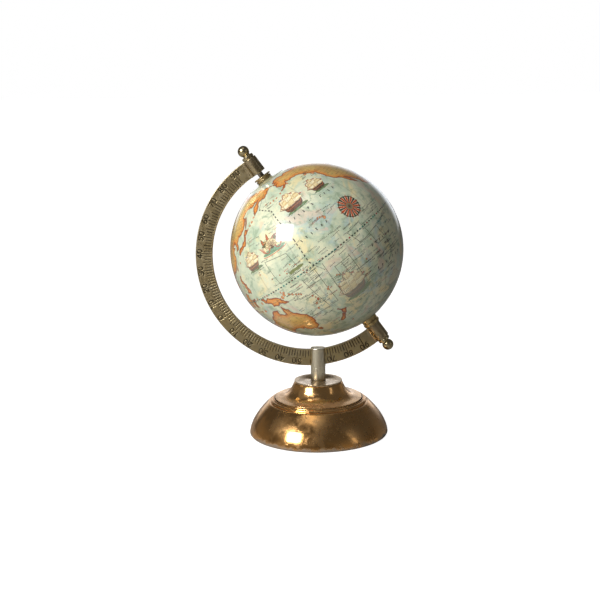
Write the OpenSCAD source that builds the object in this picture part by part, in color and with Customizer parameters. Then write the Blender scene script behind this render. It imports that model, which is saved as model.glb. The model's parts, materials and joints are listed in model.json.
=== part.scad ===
// Desktop globe on a brass stand. A hollow paper-covered ball turns freely on a leaning rod,
// which a half-ring arc holds above a round stepped base.
// Origin: middle of the felt's underside. +Z is up, and the arc and the rod lie in the XZ plane.

/* [Globe] */
// Radius of the finished globe, over its printed gores
globe_r = 63.5; // [62.5:0.5:64]
// Height of the globe's centre above the table
globe_z = 139; // [138:0.5:141]
// Lean of the rod from the vertical, towards -X
tilt = 36; // [32:1:38]
// Thickness of the printed paper gores with their varnish
paper_t = 0.3; // [0.2:0.1:0.4]
// Wall of the two half balls
ball_wall = 2.2; // [1.6:0.2:3]
// Angular radius of the round paper cap over each pole
cap_angle = 13.3; // [11:0.1:16]
// How far the globe is turned at rest: angle of the first gore's edge from the arc's open side
rest_turn = -8.6; // [-15:0.1:15]

/* [Rod and bearings] */
// Radius of the rod that the globe turns on
rod_r = 2; // [1.8:0.1:2.2]
// Radial running clearance between the rod and the polar bushes
run_gap = 0.05; // [0.02:0.01:0.1]
// Distance from the globe's centre to the inner face of each barrel
barrel_in = 70; // [69.8:0.1:70.1]
// Distance from the globe's centre to the outer face of each barrel
barrel_out = 82.2; // [82:0.1:82.3]
// Radius of the two barrels that hold the rod
barrel_r = 5.2; // [4.8:0.1:5.6]
// Radius of the ball on each finial
finial_ball_r = 4.2; // [3.8:0.1:4.6]

/* [Meridian arc] */
// Outer radius of the arc
arc_out_r = 82.5; // [82.3:0.1:82.8]
// Width of the arc's flat face
arc_w = 12.3; // [12:0.1:12.4]
// Thickness of the arc's plate
arc_t = 3; // [2:0.2:4]
// Distance from the globe's centre to the arc's own centre, away from the arc's open side
arc_shift = 8; // [7:0.5:9]

/* [Post] */
// Radius of the slotted head that grips the arc
post_r = 5.6; // [5.2:0.1:6]
// Height of the head's top above the table
post_top = 65.3; // [65:0.1:66]
// Height of the seam between the head and the collar under it
seam_z = 50.4; // [49:0.2:51]

/* [Base] */
// Radius of the base at its widest
base_r = 52; // [50:1:56]
// Height that the dome's curve would reach if it closed over the axis
dome_h = 40.7; // [40:0.1:41.5]
// Wall of the spun dome and bell
base_wall = 1.3; // [1:0.1:1.6]
// Radius of the bell's flange
flange_r = 32.5; // [32:0.1:32.6]
// Height of the seat that the flange rests on
seat_z = 27; // [26.8:0.1:27.2]
// Radius of the polished plate on top of the bell
plate_r = 17.9; // [17:0.1:18.5]
// Height of the polished plate's top
plate_z = 40.5; // [40.2:0.1:41]
// Thickness of the felt under the foot board
felt_t = 0.8; // [0.6:0.1:1.2]

/* [Hidden] */
$fn = 96;
big = 200;
gore_count = 12;
ball_r = globe_r - paper_t;
shell_in_r = ball_r - ball_wall;
cap_r = globe_r + 0.2;
bush_r = 4;
hub_in = globe_r + 0.1;
fixed_gap = 0.03;
tie_r = 2;
rod_end = barrel_out + 4.3;
arc_seat = 2.8;
arc_in_r = arc_out_r - arc_w;
plate_t = 1.1;
rim_z = 0.4;
dome_z = 1.1;
dome_power = 1.25;
board_r = base_r - 1.8;
board_t = 2;
bell_top = plate_z - plate_t;
washer_t = 1;
nut_t = 3.2;
nut_flats = 7;
gore_names = [for (i = [1:gore_count]) str("map_gore_", i)];

// A point at a radius and a height along the dome's curve, with a at 0 on the rim
function dome_point(a, r, h) = [r * pow(cos(a), dome_power), dome_z + h * pow(sin(a), dome_power)];

// Points along a circle's arc
function arc_points(centre, r, from, to, steps) =
    [for (i = [0:steps]) let (a = from + (to - from) * i / steps) centre + r * [cos(a), sin(a)]];

// Points along a curve that leaves a towards b and reaches c from b
function bend(a, b, c, steps) =
    [for (i = [0:steps]) let (t = i / steps) (1 - t) * (1 - t) * a + 2 * t * (1 - t) * b + t * t * c];

// Everything on the leaning rod is drawn with the rod along Z, north up, and the arc towards -X
module on_axis() translate([0, 0, globe_z]) rotate([0, -tilt, 0]) children();

// The same piece at the other pole
module at_south() on_axis() mirror([0, 0, 1]) children();

// A ring's section: a rectangle from one radius to another and one height to another
module slice(r_in, r_out, z_in, z_out) translate([r_in, z_in]) square([r_out - r_in, z_out - z_in]);

// A ring turned about Z
module ring(r_in, r_out, z_in, z_out) rotate_extrude() slice(r_in, r_out, z_in, z_out);

// Section of a round shell between two latitudes
module shell_section(r_in, r_out, lat_from, lat_to) {
    intersection() {
        difference() {
            circle(r_out);
            circle(r_in);
        }
        polygon(concat([[0, 0]], arc_points([0, 0], 2 * r_out, lat_from, lat_to, 8)));
    }
}

// Base

module felt_pad() color("#1d3a2a") cylinder(r = board_r, h = felt_t);

module foot_board() color("#7a5c3c") translate([0, 0, felt_t]) cylinder(r = board_r, h = board_t);

module base_dome() {
    outer_end = 40;
    inner_end = 39;
    outside = [for (a = [0:2:outer_end]) dome_point(a, base_r, dome_h)];
    inside = [for (a = [inner_end:-3:0]) dome_point(a, base_r - base_wall, dome_h - base_wall)];
    lower_bead = arc_points([34.5, seat_z - 2], 1.35, -30, 110, 8);
    upper_bead = arc_points([33.1, seat_z - 0.85], 0.85, -10, 180, 8);
    color("#96693a") rotate_extrude() polygon(concat(
        [[base_r - base_wall, rim_z], [base_r - 0.3, rim_z]],
        outside,
        [[36.3, seat_z - 3]],
        lower_bead,
        upper_bead,
        [[32, seat_z - 0.8], [31.6, seat_z], [tie_r + 0.15, seat_z]],
        [[tie_r + 0.15, seat_z - base_wall], [30, seat_z - base_wall], [34, seat_z - base_wall - 2.6]],
        inside
    ));
}

module base_bell() {
    foot = [flange_r - 4, seat_z + 1.1];
    outside = bend([plate_r, bell_top], [22.3, foot.y + 0.1], foot, 10);
    inside = bend([flange_r - 6, seat_z], [21, foot.y - 0.6], [plate_r - base_wall, bell_top - base_wall], 10);
    color("#96693a") rotate_extrude() polygon(concat(
        [[tie_r + 0.15, bell_top]],
        outside,
        [[flange_r - 0.3, seat_z + 0.8], [flange_r, seat_z + 0.6], [flange_r, seat_z]],
        inside,
        [[tie_r + 0.15, bell_top - base_wall]]
    ));
}

module top_plate() color("#b08a50") ring(tie_r + 0.1, plate_r, bell_top, plate_z);

// Clamp that holds the base together

module tie_rod() color("#9a9a98") translate([0, 0, 19.5]) cylinder(r = tie_r, h = seam_z - 20.5);

module tie_washer()
    color("#9a9a98") ring(tie_r + 0.15, 9, seat_z - base_wall - washer_t, seat_z - base_wall);

module tie_nut() {
    nut_top = seat_z - base_wall - washer_t;
    color("#9a9a98") translate([0, 0, nut_top - nut_t]) difference() {
        cylinder(d = nut_flats / cos(30), h = nut_t, $fn = 6);
        translate([0, 0, -1]) cylinder(r = tie_r + fixed_gap, h = nut_t + 2);
    }
}

// Post

module post_collar() color("#8f8566") ring(3.55, post_r - 0.15, plate_z, seam_z);

module post_head() {
    edge = 0.8;
    stub_end = plate_z + 0.5;
    color("#98906e") difference() {
        rotate_extrude() union() {
            slice(0, post_r - 0.2, seam_z, seam_z + 0.5);
            slice(0, post_r, seam_z + 0.5, post_top - edge);
            slice(0, post_r - edge, seam_z + 1, post_top);
            slice(0, 3.5, stub_end, seam_z + 1);
            intersection() {
                translate([post_r - edge, post_top - edge]) circle(edge);
                slice(0, post_r, seam_z, post_top);
            }
        }
        translate([0, 0, stub_end - 1]) cylinder(r = tie_r + fixed_gap, h = seam_z - stub_end + 0.4);
        on_axis() rotate([90, 0, 0]) translate([-arc_shift, 0, -arc_t / 2])
            cylinder(r = arc_out_r, h = arc_t, $fn = 256);
    }
}

// Arc and rod

module meridian_arc() {
    color("#6f6241") on_axis() rotate([90, 0, 0]) translate([0, 0, -arc_t / 2])
        linear_extrude(arc_t) difference() {
            translate([-arc_shift, 0]) difference() {
                circle(arc_out_r, $fn = 256);
                circle(arc_in_r, $fn = 256);
            }
            translate([-arc_seat, -big]) square(2 * big);
            for (side = [-1, 1]) translate([-barrel_r, side * (barrel_out + 5) - 5]) square(10);
        }
}

module barrel() {
    color("#4d4331") difference() {
        ring(rod_r + fixed_gap, barrel_r, barrel_in, barrel_out);
        translate([-arc_seat - 5, -arc_t / 2, barrel_in - 1]) cube([5, arc_t, barrel_out - barrel_in + 2]);
    }
}

module north_barrel() on_axis() barrel();

module south_barrel() at_south() barrel();

module axle_rod() color("#55503f") on_axis() translate([0, 0, -rod_end]) cylinder(r = rod_r, h = 2 * rod_end);

module finial() {
    collar_r = 4.5;
    collar_end = barrel_out + 2.7;
    neck_r = 2.8;
    ball_z = collar_end + finial_ball_r - 0.2;
    color("#6b6040") rotate_extrude() difference() {
        union() {
            slice(0, collar_r - 0.4, barrel_out, collar_end);
            slice(0, collar_r, barrel_out + 0.5, collar_end - 0.4);
            slice(0, neck_r, barrel_out, ball_z - 3);
            intersection() {
                translate([0, ball_z]) circle(finial_ball_r);
                slice(0, finial_ball_r, barrel_out, ball_z + finial_ball_r);
            }
        }
        slice(0, rod_r + fixed_gap, barrel_out, rod_end + 0.2);
    }
}

module north_finial() on_axis() finial();

module south_finial() at_south() finial();

module thrust_washer() color("#3a3024") at_south() ring(rod_r + 0.3, 5.6, barrel_in - 0.8, barrel_in);

// Ball

module half_ball() {
    color("#c9b48c") rotate_extrude() difference() {
        shell_section(shell_in_r, ball_r, 0, 90);
        slice(0, bush_r, 0, big);
    }
}

module north_half_ball() on_axis() half_ball();

module south_half_ball() at_south() half_ball();

module equator_band() color("#b59c70") on_axis() rotate_extrude()
    shell_section(shell_in_r - 1.2, shell_in_r, -6, 6);

module bush() {
    inner = 9;
    color("#a07c50") rotate_extrude() difference() {
        union() {
            slice(0, bush_r, shell_in_r - 6, hub_in);
            intersection() {
                circle(shell_in_r);
                slice(0, inner, shell_in_r - 4, shell_in_r);
            }
        }
        slice(0, rod_r + run_gap, 0, big);
    }
}

module north_bush() on_axis() bush();

module south_bush() at_south() bush();

// A stepped brass hub: a disc on the ball, a groove, and a wider disc
module hub(groove_z, height, wide_r) {
    disc_r = 6.1;
    groove_w = 0.5;
    color("#8a6d35") rotate_extrude() union() {
        slice(rod_r + 0.3, disc_r, hub_in, groove_z);
        slice(rod_r + 0.3, disc_r - 0.9, groove_z, groove_z + groove_w);
        slice(rod_r + 0.3, wide_r, groove_z + groove_w, hub_in + height);
    }
}

module north_hub() on_axis() hub(hub_in + 1.6, 3.3, 6.7);

module south_hub() at_south() hub(hub_in + 2.6, barrel_in - 0.9 - hub_in, 6.4);

// Print

module pole_cap() {
    color("#b7c2b0") rotate_extrude() difference() {
        shell_section(ball_r, cap_r, 90 - cap_angle, 90);
        slice(0, bush_r, 0, big);
    }
}

module north_cap() on_axis() pole_cap();

module south_cap() at_south() pole_cap();

module map_gore(i) {
    span = 360 / gore_count;
    edge_lat = 90 - cap_angle;
    color("#d8cfae") on_axis() rotate(rest_turn + span * (i - 1)) rotate_extrude(angle = span)
        shell_section(ball_r, globe_r, -edge_lat, edge_lat);
}

felt_pad();
foot_board();
base_dome();
base_bell();
top_plate();
tie_rod();
tie_washer();
tie_nut();
post_collar();
post_head();
meridian_arc();
north_barrel();
south_barrel();
axle_rod();
north_finial();
south_finial();
thrust_washer();
north_half_ball();
south_half_ball();
equator_band();
north_bush();
south_bush();
north_hub();
south_hub();
north_cap();
south_cap();
for (i = [1:gore_count]) map_gore(i);
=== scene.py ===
import json
import math
import random

import bmesh
import bpy
import numpy as np
from mathutils import Matrix, Vector, geometry, kdtree


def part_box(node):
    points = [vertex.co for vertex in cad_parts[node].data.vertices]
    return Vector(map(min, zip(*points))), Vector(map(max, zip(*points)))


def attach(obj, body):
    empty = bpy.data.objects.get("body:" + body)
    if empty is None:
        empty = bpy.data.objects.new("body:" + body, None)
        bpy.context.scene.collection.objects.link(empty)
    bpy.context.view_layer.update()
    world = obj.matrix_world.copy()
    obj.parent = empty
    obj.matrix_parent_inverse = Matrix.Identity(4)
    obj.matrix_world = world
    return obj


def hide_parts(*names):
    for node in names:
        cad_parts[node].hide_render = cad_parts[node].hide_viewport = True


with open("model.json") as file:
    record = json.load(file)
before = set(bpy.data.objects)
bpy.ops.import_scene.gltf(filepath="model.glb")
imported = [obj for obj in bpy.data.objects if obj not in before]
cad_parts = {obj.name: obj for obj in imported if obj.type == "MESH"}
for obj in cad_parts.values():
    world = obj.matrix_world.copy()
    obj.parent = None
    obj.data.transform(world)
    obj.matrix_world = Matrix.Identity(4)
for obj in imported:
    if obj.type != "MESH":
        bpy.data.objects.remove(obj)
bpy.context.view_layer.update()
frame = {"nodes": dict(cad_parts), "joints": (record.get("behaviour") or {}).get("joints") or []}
mm = 0.001

spin = frame["joints"][0]
upright = Matrix.Identity(4)
rodAxis = Vector(spin["axis"]).normalized()
rodSide = Vector((0, 1, 0)).cross(rodAxis)  # points away from the arc
rodTurn = Matrix((rodSide, Vector((0, 1, 0)), rodAxis)).transposed().to_4x4()
rodFrame = Matrix.Translation(spin["pos_m"]) @ rodTurn
southFrame = rodFrame @ Matrix.Rotation(math.pi, 4, "X")


def measured(node, place):
    # widest radius and the two ends of a CAD node about an axis, in millimetres, and its first angle
    mesh = frame["nodes"][node].data
    flat = np.zeros(len(mesh.vertices) * 3)
    mesh.vertices.foreach_get("co", flat)
    back = np.array(place.inverted())
    local = (flat.reshape(-1, 3) @ back[:3, :3].T + back[:3, 3]) / mm
    radius = np.hypot(local[:, 0], local[:, 1])
    angle = np.degrees(np.arctan2(local[:, 1], local[:, 0]))
    reach = np.linalg.norm(local, axis=1)
    return {"radius": radius.max(), "low": local[:, 2].min(), "high": local[:, 2].max(),
            "angle": angle.min(), "reach": reach.max()}


def setValues(mesh, values):
    for label, numbers in values.items():
        coloured = label == "inkColour"
        layer = mesh.attributes.new(label, "FLOAT_COLOR" if coloured else "FLOAT", "POINT")
        layer.data.foreach_set("color" if coloured else "value", np.ravel(numbers))


def addPiece(name, mesh, material, body, stands=()):
    mesh.polygons.foreach_set("use_smooth", [True] * len(mesh.polygons))
    mesh.materials.append(material)
    piece = bpy.data.objects.new(name, mesh)
    bpy.context.scene.collection.objects.link(piece)
    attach(piece, body)
    if stands:
        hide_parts(*stands)
    return piece


def gridQuads(rows, columns, wrap=False):
    # quads between rows of points, each row holding the same number of columns
    row, column = np.meshgrid(np.arange(rows - 1), np.arange(columns if wrap else columns - 1), indexing="ij")
    here = row * columns + column
    right = row * columns + (column + 1) % columns
    return np.stack([here, right, right + columns, here + columns], -1).reshape(-1, 4)


def softened(profile, steps=4):
    # rounds each corner that carries a radius; the third number says how much a point is an edge
    out = []
    for i, corner in enumerate(profile):
        here = Vector(corner[:2])
        if len(corner) < 3:
            out.append((here.x, here.y, 0.0))
            continue
        before = Vector(profile[i - 1][:2]) - here
        after = Vector(profile[(i + 1) % len(profile)][:2]) - here
        reach = min(corner[2] / math.tan(before.angle(after) / 2), before.length * 0.45, after.length * 0.45)
        before.normalize()
        after.normalize()
        out.append((*(here + before * reach * 1.08), 0.0))
        for k in range(steps + 1):
            t = k / steps
            point = here + before * reach * (1 - t) ** 2 + after * reach * t ** 2
            out.append((*point, 4 * t * (1 - t)))
        out.append((*(here + after * reach * 1.08), 0.0))
    return out


def turned(name, profile, place, material, body, stands=(), around=192):
    # a lathe-turned piece: the closed profile runs round the axis, in millimetres
    rounded = softened(profile)
    points, edge, along, rings = [], [], [], []
    travelled = 0.0
    for i, (r, z, amount) in enumerate(rounded):
        if i:
            travelled += math.dist(rounded[i][:2], rounded[i - 1][:2])
        count = around if r > 0.001 else 1
        rings.append(range(len(points), len(points) + count))
        for k in range(count):
            a = 2 * math.pi * k / around
            points.append(place @ Vector((r * math.cos(a) * mm, r * math.sin(a) * mm, z * mm)))
        edge += [amount] * count
        along += [travelled] * count
    faces = []
    for i, ring in enumerate(rings):
        after = rings[(i + 1) % len(rings)]
        if len(ring) == 1 and len(after) == 1:
            continue
        for k in range(around):
            n = (k + 1) % around
            corners = [ring[k % len(ring)], ring[n % len(ring)], after[n % len(after)], after[k % len(after)]]
            faces.append(list(dict.fromkeys(corners)))
    mesh = bpy.data.meshes.new(name)
    mesh.from_pydata(points, [], faces)
    setValues(mesh, {"edge": np.array(edge), "along": np.array(along)})
    return addPiece(name, mesh, material, body, stands)


def addNode(tree, kind, inputs=None, **settings):
    made = tree.nodes.new("ShaderNode" + kind)
    for key, value in settings.items():
        setattr(made, key, value)
    for key, value in (inputs or {}).items():
        if isinstance(value, bpy.types.NodeSocket):
            tree.links.new(value, made.inputs[key])
        else:
            made.inputs[key].default_value = value
    return made


def maths(tree, operation, a, b=0.0, clamp=False):
    return addNode(tree, "Math", {0: a, 1: b}, operation=operation, use_clamp=clamp).outputs[0]


def times(tree, a, b):
    return maths(tree, "MULTIPLY", a, b)


def plus(tree, a, b):
    return maths(tree, "ADD", a, b)


def span(tree, value, low, high, toLow=0.0, toHigh=1.0, smooth=True):
    # maps low..high onto toLow..toHigh
    kind = "SMOOTHSTEP" if smooth else "LINEAR"
    inputs = {"Value": value, "From Min": low, "From Max": high, "To Min": toLow, "To Max": toHigh}
    return addNode(tree, "MapRange", inputs, interpolation_type=kind).outputs["Result"]


def blendColour(tree, factor, a, b):
    made = addNode(tree, "Mix", data_type="RGBA")
    for socket, value in ((made.inputs[0], factor), (made.inputs[6], a), (made.inputs[7], b)):
        if isinstance(value, bpy.types.NodeSocket):
            tree.links.new(value, socket)
        else:
            socket.default_value = value if isinstance(value, float) else (*value[:3], 1)
    return made.outputs[2]


def stain(tree, under, mask, amount, colour):
    return blendColour(tree, times(tree, mask, amount), under, colour)


def noise(tree, vector, scale, detail=3.0, rough=0.55, warp=0.0):
    inputs = {"Vector": vector, "Scale": scale, "Detail": detail, "Roughness": rough, "Distortion": warp}
    return addNode(tree, "TexNoise", inputs).outputs["Fac"]


def mapped(tree, vector, how, amounts):
    return addNode(tree, "Mapping", {"Vector": vector, how: amounts}).outputs[0]


def objectPoint(tree):
    return addNode(tree, "TexCoord").outputs["Object"]


def valueOf(tree, label):
    return addNode(tree, "Attribute", attribute_name=label).outputs["Fac"]


def newGroup(name, takes, gives):
    tree = bpy.data.node_groups.new(name, "ShaderNodeTree")
    for label, default in takes:
        socket = tree.interface.new_socket(name=label, in_out="INPUT", socket_type="NodeSocketFloat")
        socket.default_value = default
    for label in gives:
        tree.interface.new_socket(name=label, in_out="OUTPUT", socket_type="NodeSocketFloat")
    return tree, tree.nodes.new("NodeGroupInput").outputs, tree.nodes.new("NodeGroupOutput").inputs


def useGroup(tree, name, **inputs):
    made = addNode(tree, "Group", node_tree=bpy.data.node_groups[name])
    for label, value in inputs.items():
        made.inputs[label].default_value = value
    return made.outputs


def patinaGroup():
    # brown-green tarnish that gathers in soft patches, and the cloudy tone between them
    sockets = [("Scale", 60), ("Coverage", 0.4), ("Softness", 0.12)]
    tree, takes, gives = newGroup("patina", sockets, ["Mask", "Cloud"])
    point = objectPoint(tree)
    broad = noise(tree, point, takes["Scale"], 6, 0.62, 0.6)
    fine = noise(tree, point, times(tree, takes["Scale"], 7), 4, 0.6)
    mixed = plus(tree, times(tree, broad, 0.72), times(tree, fine, 0.28))
    edge = span(tree, takes["Coverage"], 0, 1, 0.72, 0.28, smooth=False)
    low = maths(tree, "SUBTRACT", edge, takes["Softness"])
    high = plus(tree, edge, takes["Softness"])
    tree.links.new(span(tree, mixed, low, high), gives["Mask"])
    tree.links.new(span(tree, mixed, 0.3, 0.7), gives["Cloud"])


def edgeWearGroup():
    # bright rubbed metal along rounded edges, broken up by grain
    tree, takes, gives = newGroup("edgeWear", [("Scale", 900), ("Amount", 0.8)], ["Mask"])
    grain = noise(tree, objectPoint(tree), takes["Scale"], 3, 0.6)
    worn = times(tree, valueOf(tree, "edge"), takes["Amount"])
    tree.links.new(span(tree, plus(tree, worn, times(tree, grain, 0.5)), 0.55, 1.0), gives["Mask"])


def scratchGroup():
    # thin scratches in two directions, short pits, and wide shallow dents
    tree, takes, gives = newGroup("scratches", [("Scale", 90), ("Amount", 0.5)], ["Mask", "Pits", "Dents"])
    point = objectPoint(tree)

    def dots(scale, low, high, patch, detail, few, many):
        # round spots, only where a broader noise is high
        size = times(tree, takes["Scale"], scale)
        cells = addNode(tree, "TexVoronoi", {"Vector": point, "Scale": size}).outputs["Distance"]
        chosen = span(tree, noise(tree, point, times(tree, takes["Scale"], patch), detail), few, many)
        return times(tree, span(tree, cells, low, high, 1.0, 0.0), chosen)

    found = None
    for turn, stretch in (((0.4, 0.2, 0.9), (1, 1, 0.12)), ((1.3, 0.7, 0.1), (0.1, 1, 1))):
        moved = addNode(tree, "Mapping", {"Vector": point, "Rotation": turn, "Scale": stretch}).outputs[0]
        inputs = {"Vector": moved, "Scale": takes["Scale"]}
        cells = addNode(tree, "TexVoronoi", inputs, feature="DISTANCE_TO_EDGE").outputs["Distance"]
        line = span(tree, cells, 0.0, 0.014, 1.0, 0.0)
        found = line if found is None else maths(tree, "MAXIMUM", found, line)
    grain = span(tree, noise(tree, point, times(tree, takes["Scale"], 2.2), 2), 0.5, 0.62)
    tree.links.new(times(tree, times(tree, found, grain), takes["Amount"]), gives["Mask"])
    tree.links.new(times(tree, dots(6, 0.1, 0.26, 1.4, 2, 0.56, 0.66), takes["Amount"]), gives["Pits"])
    tree.links.new(dots(1.5, 0.04, 0.2, 0.7, 1, 0.54, 0.6), gives["Dents"])


def spinMarkGroup():
    # fine rings left by turning, which follow the profile
    tree, takes, gives = newGroup("spinMarks", [("Scale", 6), ("Break", 0.4)], ["Height"])
    rings = addNode(tree, "TexNoise", {"W": valueOf(tree, "along"), "Scale": takes["Scale"], "Detail": 4.0},
                    noise_dimensions="1D").outputs["Fac"]
    worn = noise(tree, objectPoint(tree), 120, 2)
    tree.links.new(times(tree, rings, span(tree, worn, 0.3, 0.6, 0.4, 1.0)), gives["Height"])


def varnishGroup():
    # the lacquer over the print: slight ripple, dust and dull rubbed spots
    tree, takes, gives = newGroup("varnish", [("Ripple", 240), ("Dust", 0.5)], ["Height", "Rubbed", "Specks"])
    point = objectPoint(tree)
    tree.links.new(noise(tree, point, takes["Ripple"], 2), gives["Height"])
    tree.links.new(span(tree, noise(tree, point, 85, 5, 0.6), 0.5, 0.75), gives["Rubbed"])
    dots = addNode(tree, "TexVoronoi", {"Vector": point, "Scale": 1300.0}).outputs["Distance"]
    few = span(tree, noise(tree, point, 300, 2), 0.58, 0.66)
    specks = times(tree, span(tree, dots, 0.08, 0.2, 1.0, 0.0), few)
    tree.links.new(times(tree, specks, takes["Dust"]), gives["Specks"])


for makeGroup in (patinaGroup, edgeWearGroup, scratchGroup, spinMarkGroup, varnishGroup):
    makeGroup()
print("shader groups ready")


def newMaterial(name):
    material = bpy.data.materials.new(name)
    material.use_nodes = True
    tree = material.node_tree
    shader = tree.nodes["Principled BSDF"]
    return material, tree, shader


def joinBump(tree, shader, heights):
    # chains bumps; each is (height, distance in millimetres, strength)
    normal = None
    for height, distance, strength in heights:
        inputs = {"Height": height, "Distance": distance * mm, "Strength": strength}
        if normal is not None:
            inputs["Normal"] = normal
        normal = addNode(tree, "Bump", inputs).outputs["Normal"]
    tree.links.new(normal, shader.inputs["Normal"])


brassLooks = {
    # metal tones; roughness where polished and where dull; patches of tarnish; wear, scratches and rings;
    # dust on faces that look up; the height of the grey foot, worn and with a painted floor reflection, and
    # the radius of the painted shade in the crevice under the flange, millimetres
    "basePolish": {"bright": (0.82, 0.42, 0.135), "dull": (0.50, 0.255, 0.085), "dark": (0.06, 0.04, 0.02),
                   "rubbed": (0.66, 0.46, 0.24), "smooth": 0.13, "rough": 0.3, "patches": 34,
                   "coverage": 0.5, "wear": 0.75, "scratch": 0.9, "rings": 0.3, "dust": 0.35, "foot": 4.6,
                   "seam": 33.0},
    # the bell's brass is a brighter copy of the base's brass, lightened to paint in light that its reflection
    # lacks
    "bellPolishLitCopy": {"bright": (0.95, 0.51, 0.175), "dull": (0.68, 0.35, 0.115), "dark": (0.07, 0.045, 0.025),
                   "rubbed": (0.84, 0.58, 0.32), "smooth": 0.13, "rough": 0.3, "patches": 44,
                   "coverage": 0.45, "wear": 0.8, "scratch": 0.9, "rings": 0.3, "dust": 0.6},
    "platePolish": {"bright": (0.54, 0.38, 0.21), "dull": (0.36, 0.25, 0.14), "dark": (0.12, 0.09, 0.055),
                    "rubbed": (0.68, 0.55, 0.37), "smooth": 0.2, "rough": 0.36, "patches": 60,
                    "coverage": 0.45, "wear": 0.7, "scratch": 0.7, "rings": 0.5, "dust": 0.25},
    "postNickel": {"bright": (0.78, 0.70, 0.52), "dull": (0.56, 0.495, 0.36), "dark": (0.13, 0.11, 0.08),
                   "rubbed": (0.82, 0.78, 0.66), "smooth": 0.28, "rough": 0.42, "patches": 90,
                   "coverage": 0.4, "wear": 0.8, "scratch": 0.7, "rings": 0.9},
    "arcAntique": {"bright": (0.41, 0.315, 0.155), "dull": (0.245, 0.187, 0.092),
                   "dark": (0.045, 0.037, 0.022), "rubbed": (0.62, 0.55, 0.38), "smooth": 0.3, "rough": 0.5,
                   "patches": 70, "coverage": 0.5, "wear": 0.7, "scratch": 0.8, "rings": 0.0},
    "barrelDark": {"bright": (0.42, 0.34, 0.2), "dull": (0.24, 0.185, 0.115), "dark": (0.045, 0.035, 0.025),
                   "rubbed": (0.6, 0.5, 0.32), "smooth": 0.26, "rough": 0.42, "patches": 120,
                   "coverage": 0.5, "wear": 0.8, "scratch": 0.6, "rings": 0.2},
    "finialPolish": {"bright": (0.50, 0.42, 0.24), "dull": (0.28, 0.23, 0.13), "dark": (0.06, 0.05, 0.03),
                     "rubbed": (0.68, 0.58, 0.38), "smooth": 0.16, "rough": 0.34, "patches": 140,
                     "coverage": 0.45, "wear": 0.8, "scratch": 0.5, "rings": 0.15},
    "hubOlive": {"bright": (0.56, 0.42, 0.19), "dull": (0.32, 0.24, 0.11), "dark": (0.06, 0.045, 0.025),
                 "rubbed": (0.72, 0.56, 0.3), "smooth": 0.24, "rough": 0.42, "patches": 150,
                 "coverage": 0.5, "wear": 0.85, "scratch": 0.6, "rings": 0.3},
}
dustTone = (0.60, 0.40, 0.22)
# the foot's grey is wear together with a painted reflection of the floor
footWearAndReflectionTone = (0.25, 0.225, 0.195)


def addDust(tree, look, cloud, colour, rough, metal):
    # a dull film on the faces that look up
    facing = addNode(tree, "SeparateXYZ", {0: addNode(tree, "NewGeometry").outputs["Normal"]}).outputs["Z"]
    thick = span(tree, cloud, 0, 1, look["dust"] * 0.7, look["dust"])
    dust = times(tree, span(tree, facing, 0.75, 0.97), thick)
    colour = blendColour(tree, dust, colour, dustTone)
    rough = plus(tree, rough, times(tree, dust, 0.2))
    return colour, rough, maths(tree, "SUBTRACT", metal, times(tree, dust, 0.6), clamp=True)


def addCreviceShadeAndFoot(tree, look, colour, rough, metal):
    # painted shade in the crevice under the flange, and a grey foot with a ragged edge that is worn and
    # carries a painted reflection of the floor
    point = objectPoint(tree)
    height = addNode(tree, "SeparateXYZ", {0: point}).outputs["Z"]
    level = addNode(tree, "VectorMath", {0: point, 1: (1, 1, 0)}, operation="MULTIPLY").outputs[0]
    radius = addNode(tree, "VectorMath", {0: level}, operation="LENGTH").outputs["Value"]
    # painted shade: the metal darkens in the crevice under the flange
    seam = span(tree, radius, look["seam"] * mm, (look["seam"] + 0.6) * mm, 1.0, 0.0)
    colour = stain(tree, colour, seam, 0.9, look["dark"])
    # the grey foot: wear, and a painted reflection of the floor, up to the foot height from the bottom
    ragged = times(tree, plus(tree, noise(tree, point, 130, 5, 0.7), -0.5), 0.012)
    worn = span(tree, plus(tree, height, ragged), look["foot"] * 0.25 * mm, look["foot"] * mm, 1.0, 0.0)
    colour = stain(tree, colour, worn, 0.85, footWearAndReflectionTone)
    rough = plus(tree, plus(tree, rough, times(tree, seam, 0.3)), times(tree, worn, 0.22))
    return colour, rough, maths(tree, "SUBTRACT", metal, times(tree, worn, 0.5), clamp=True)


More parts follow.
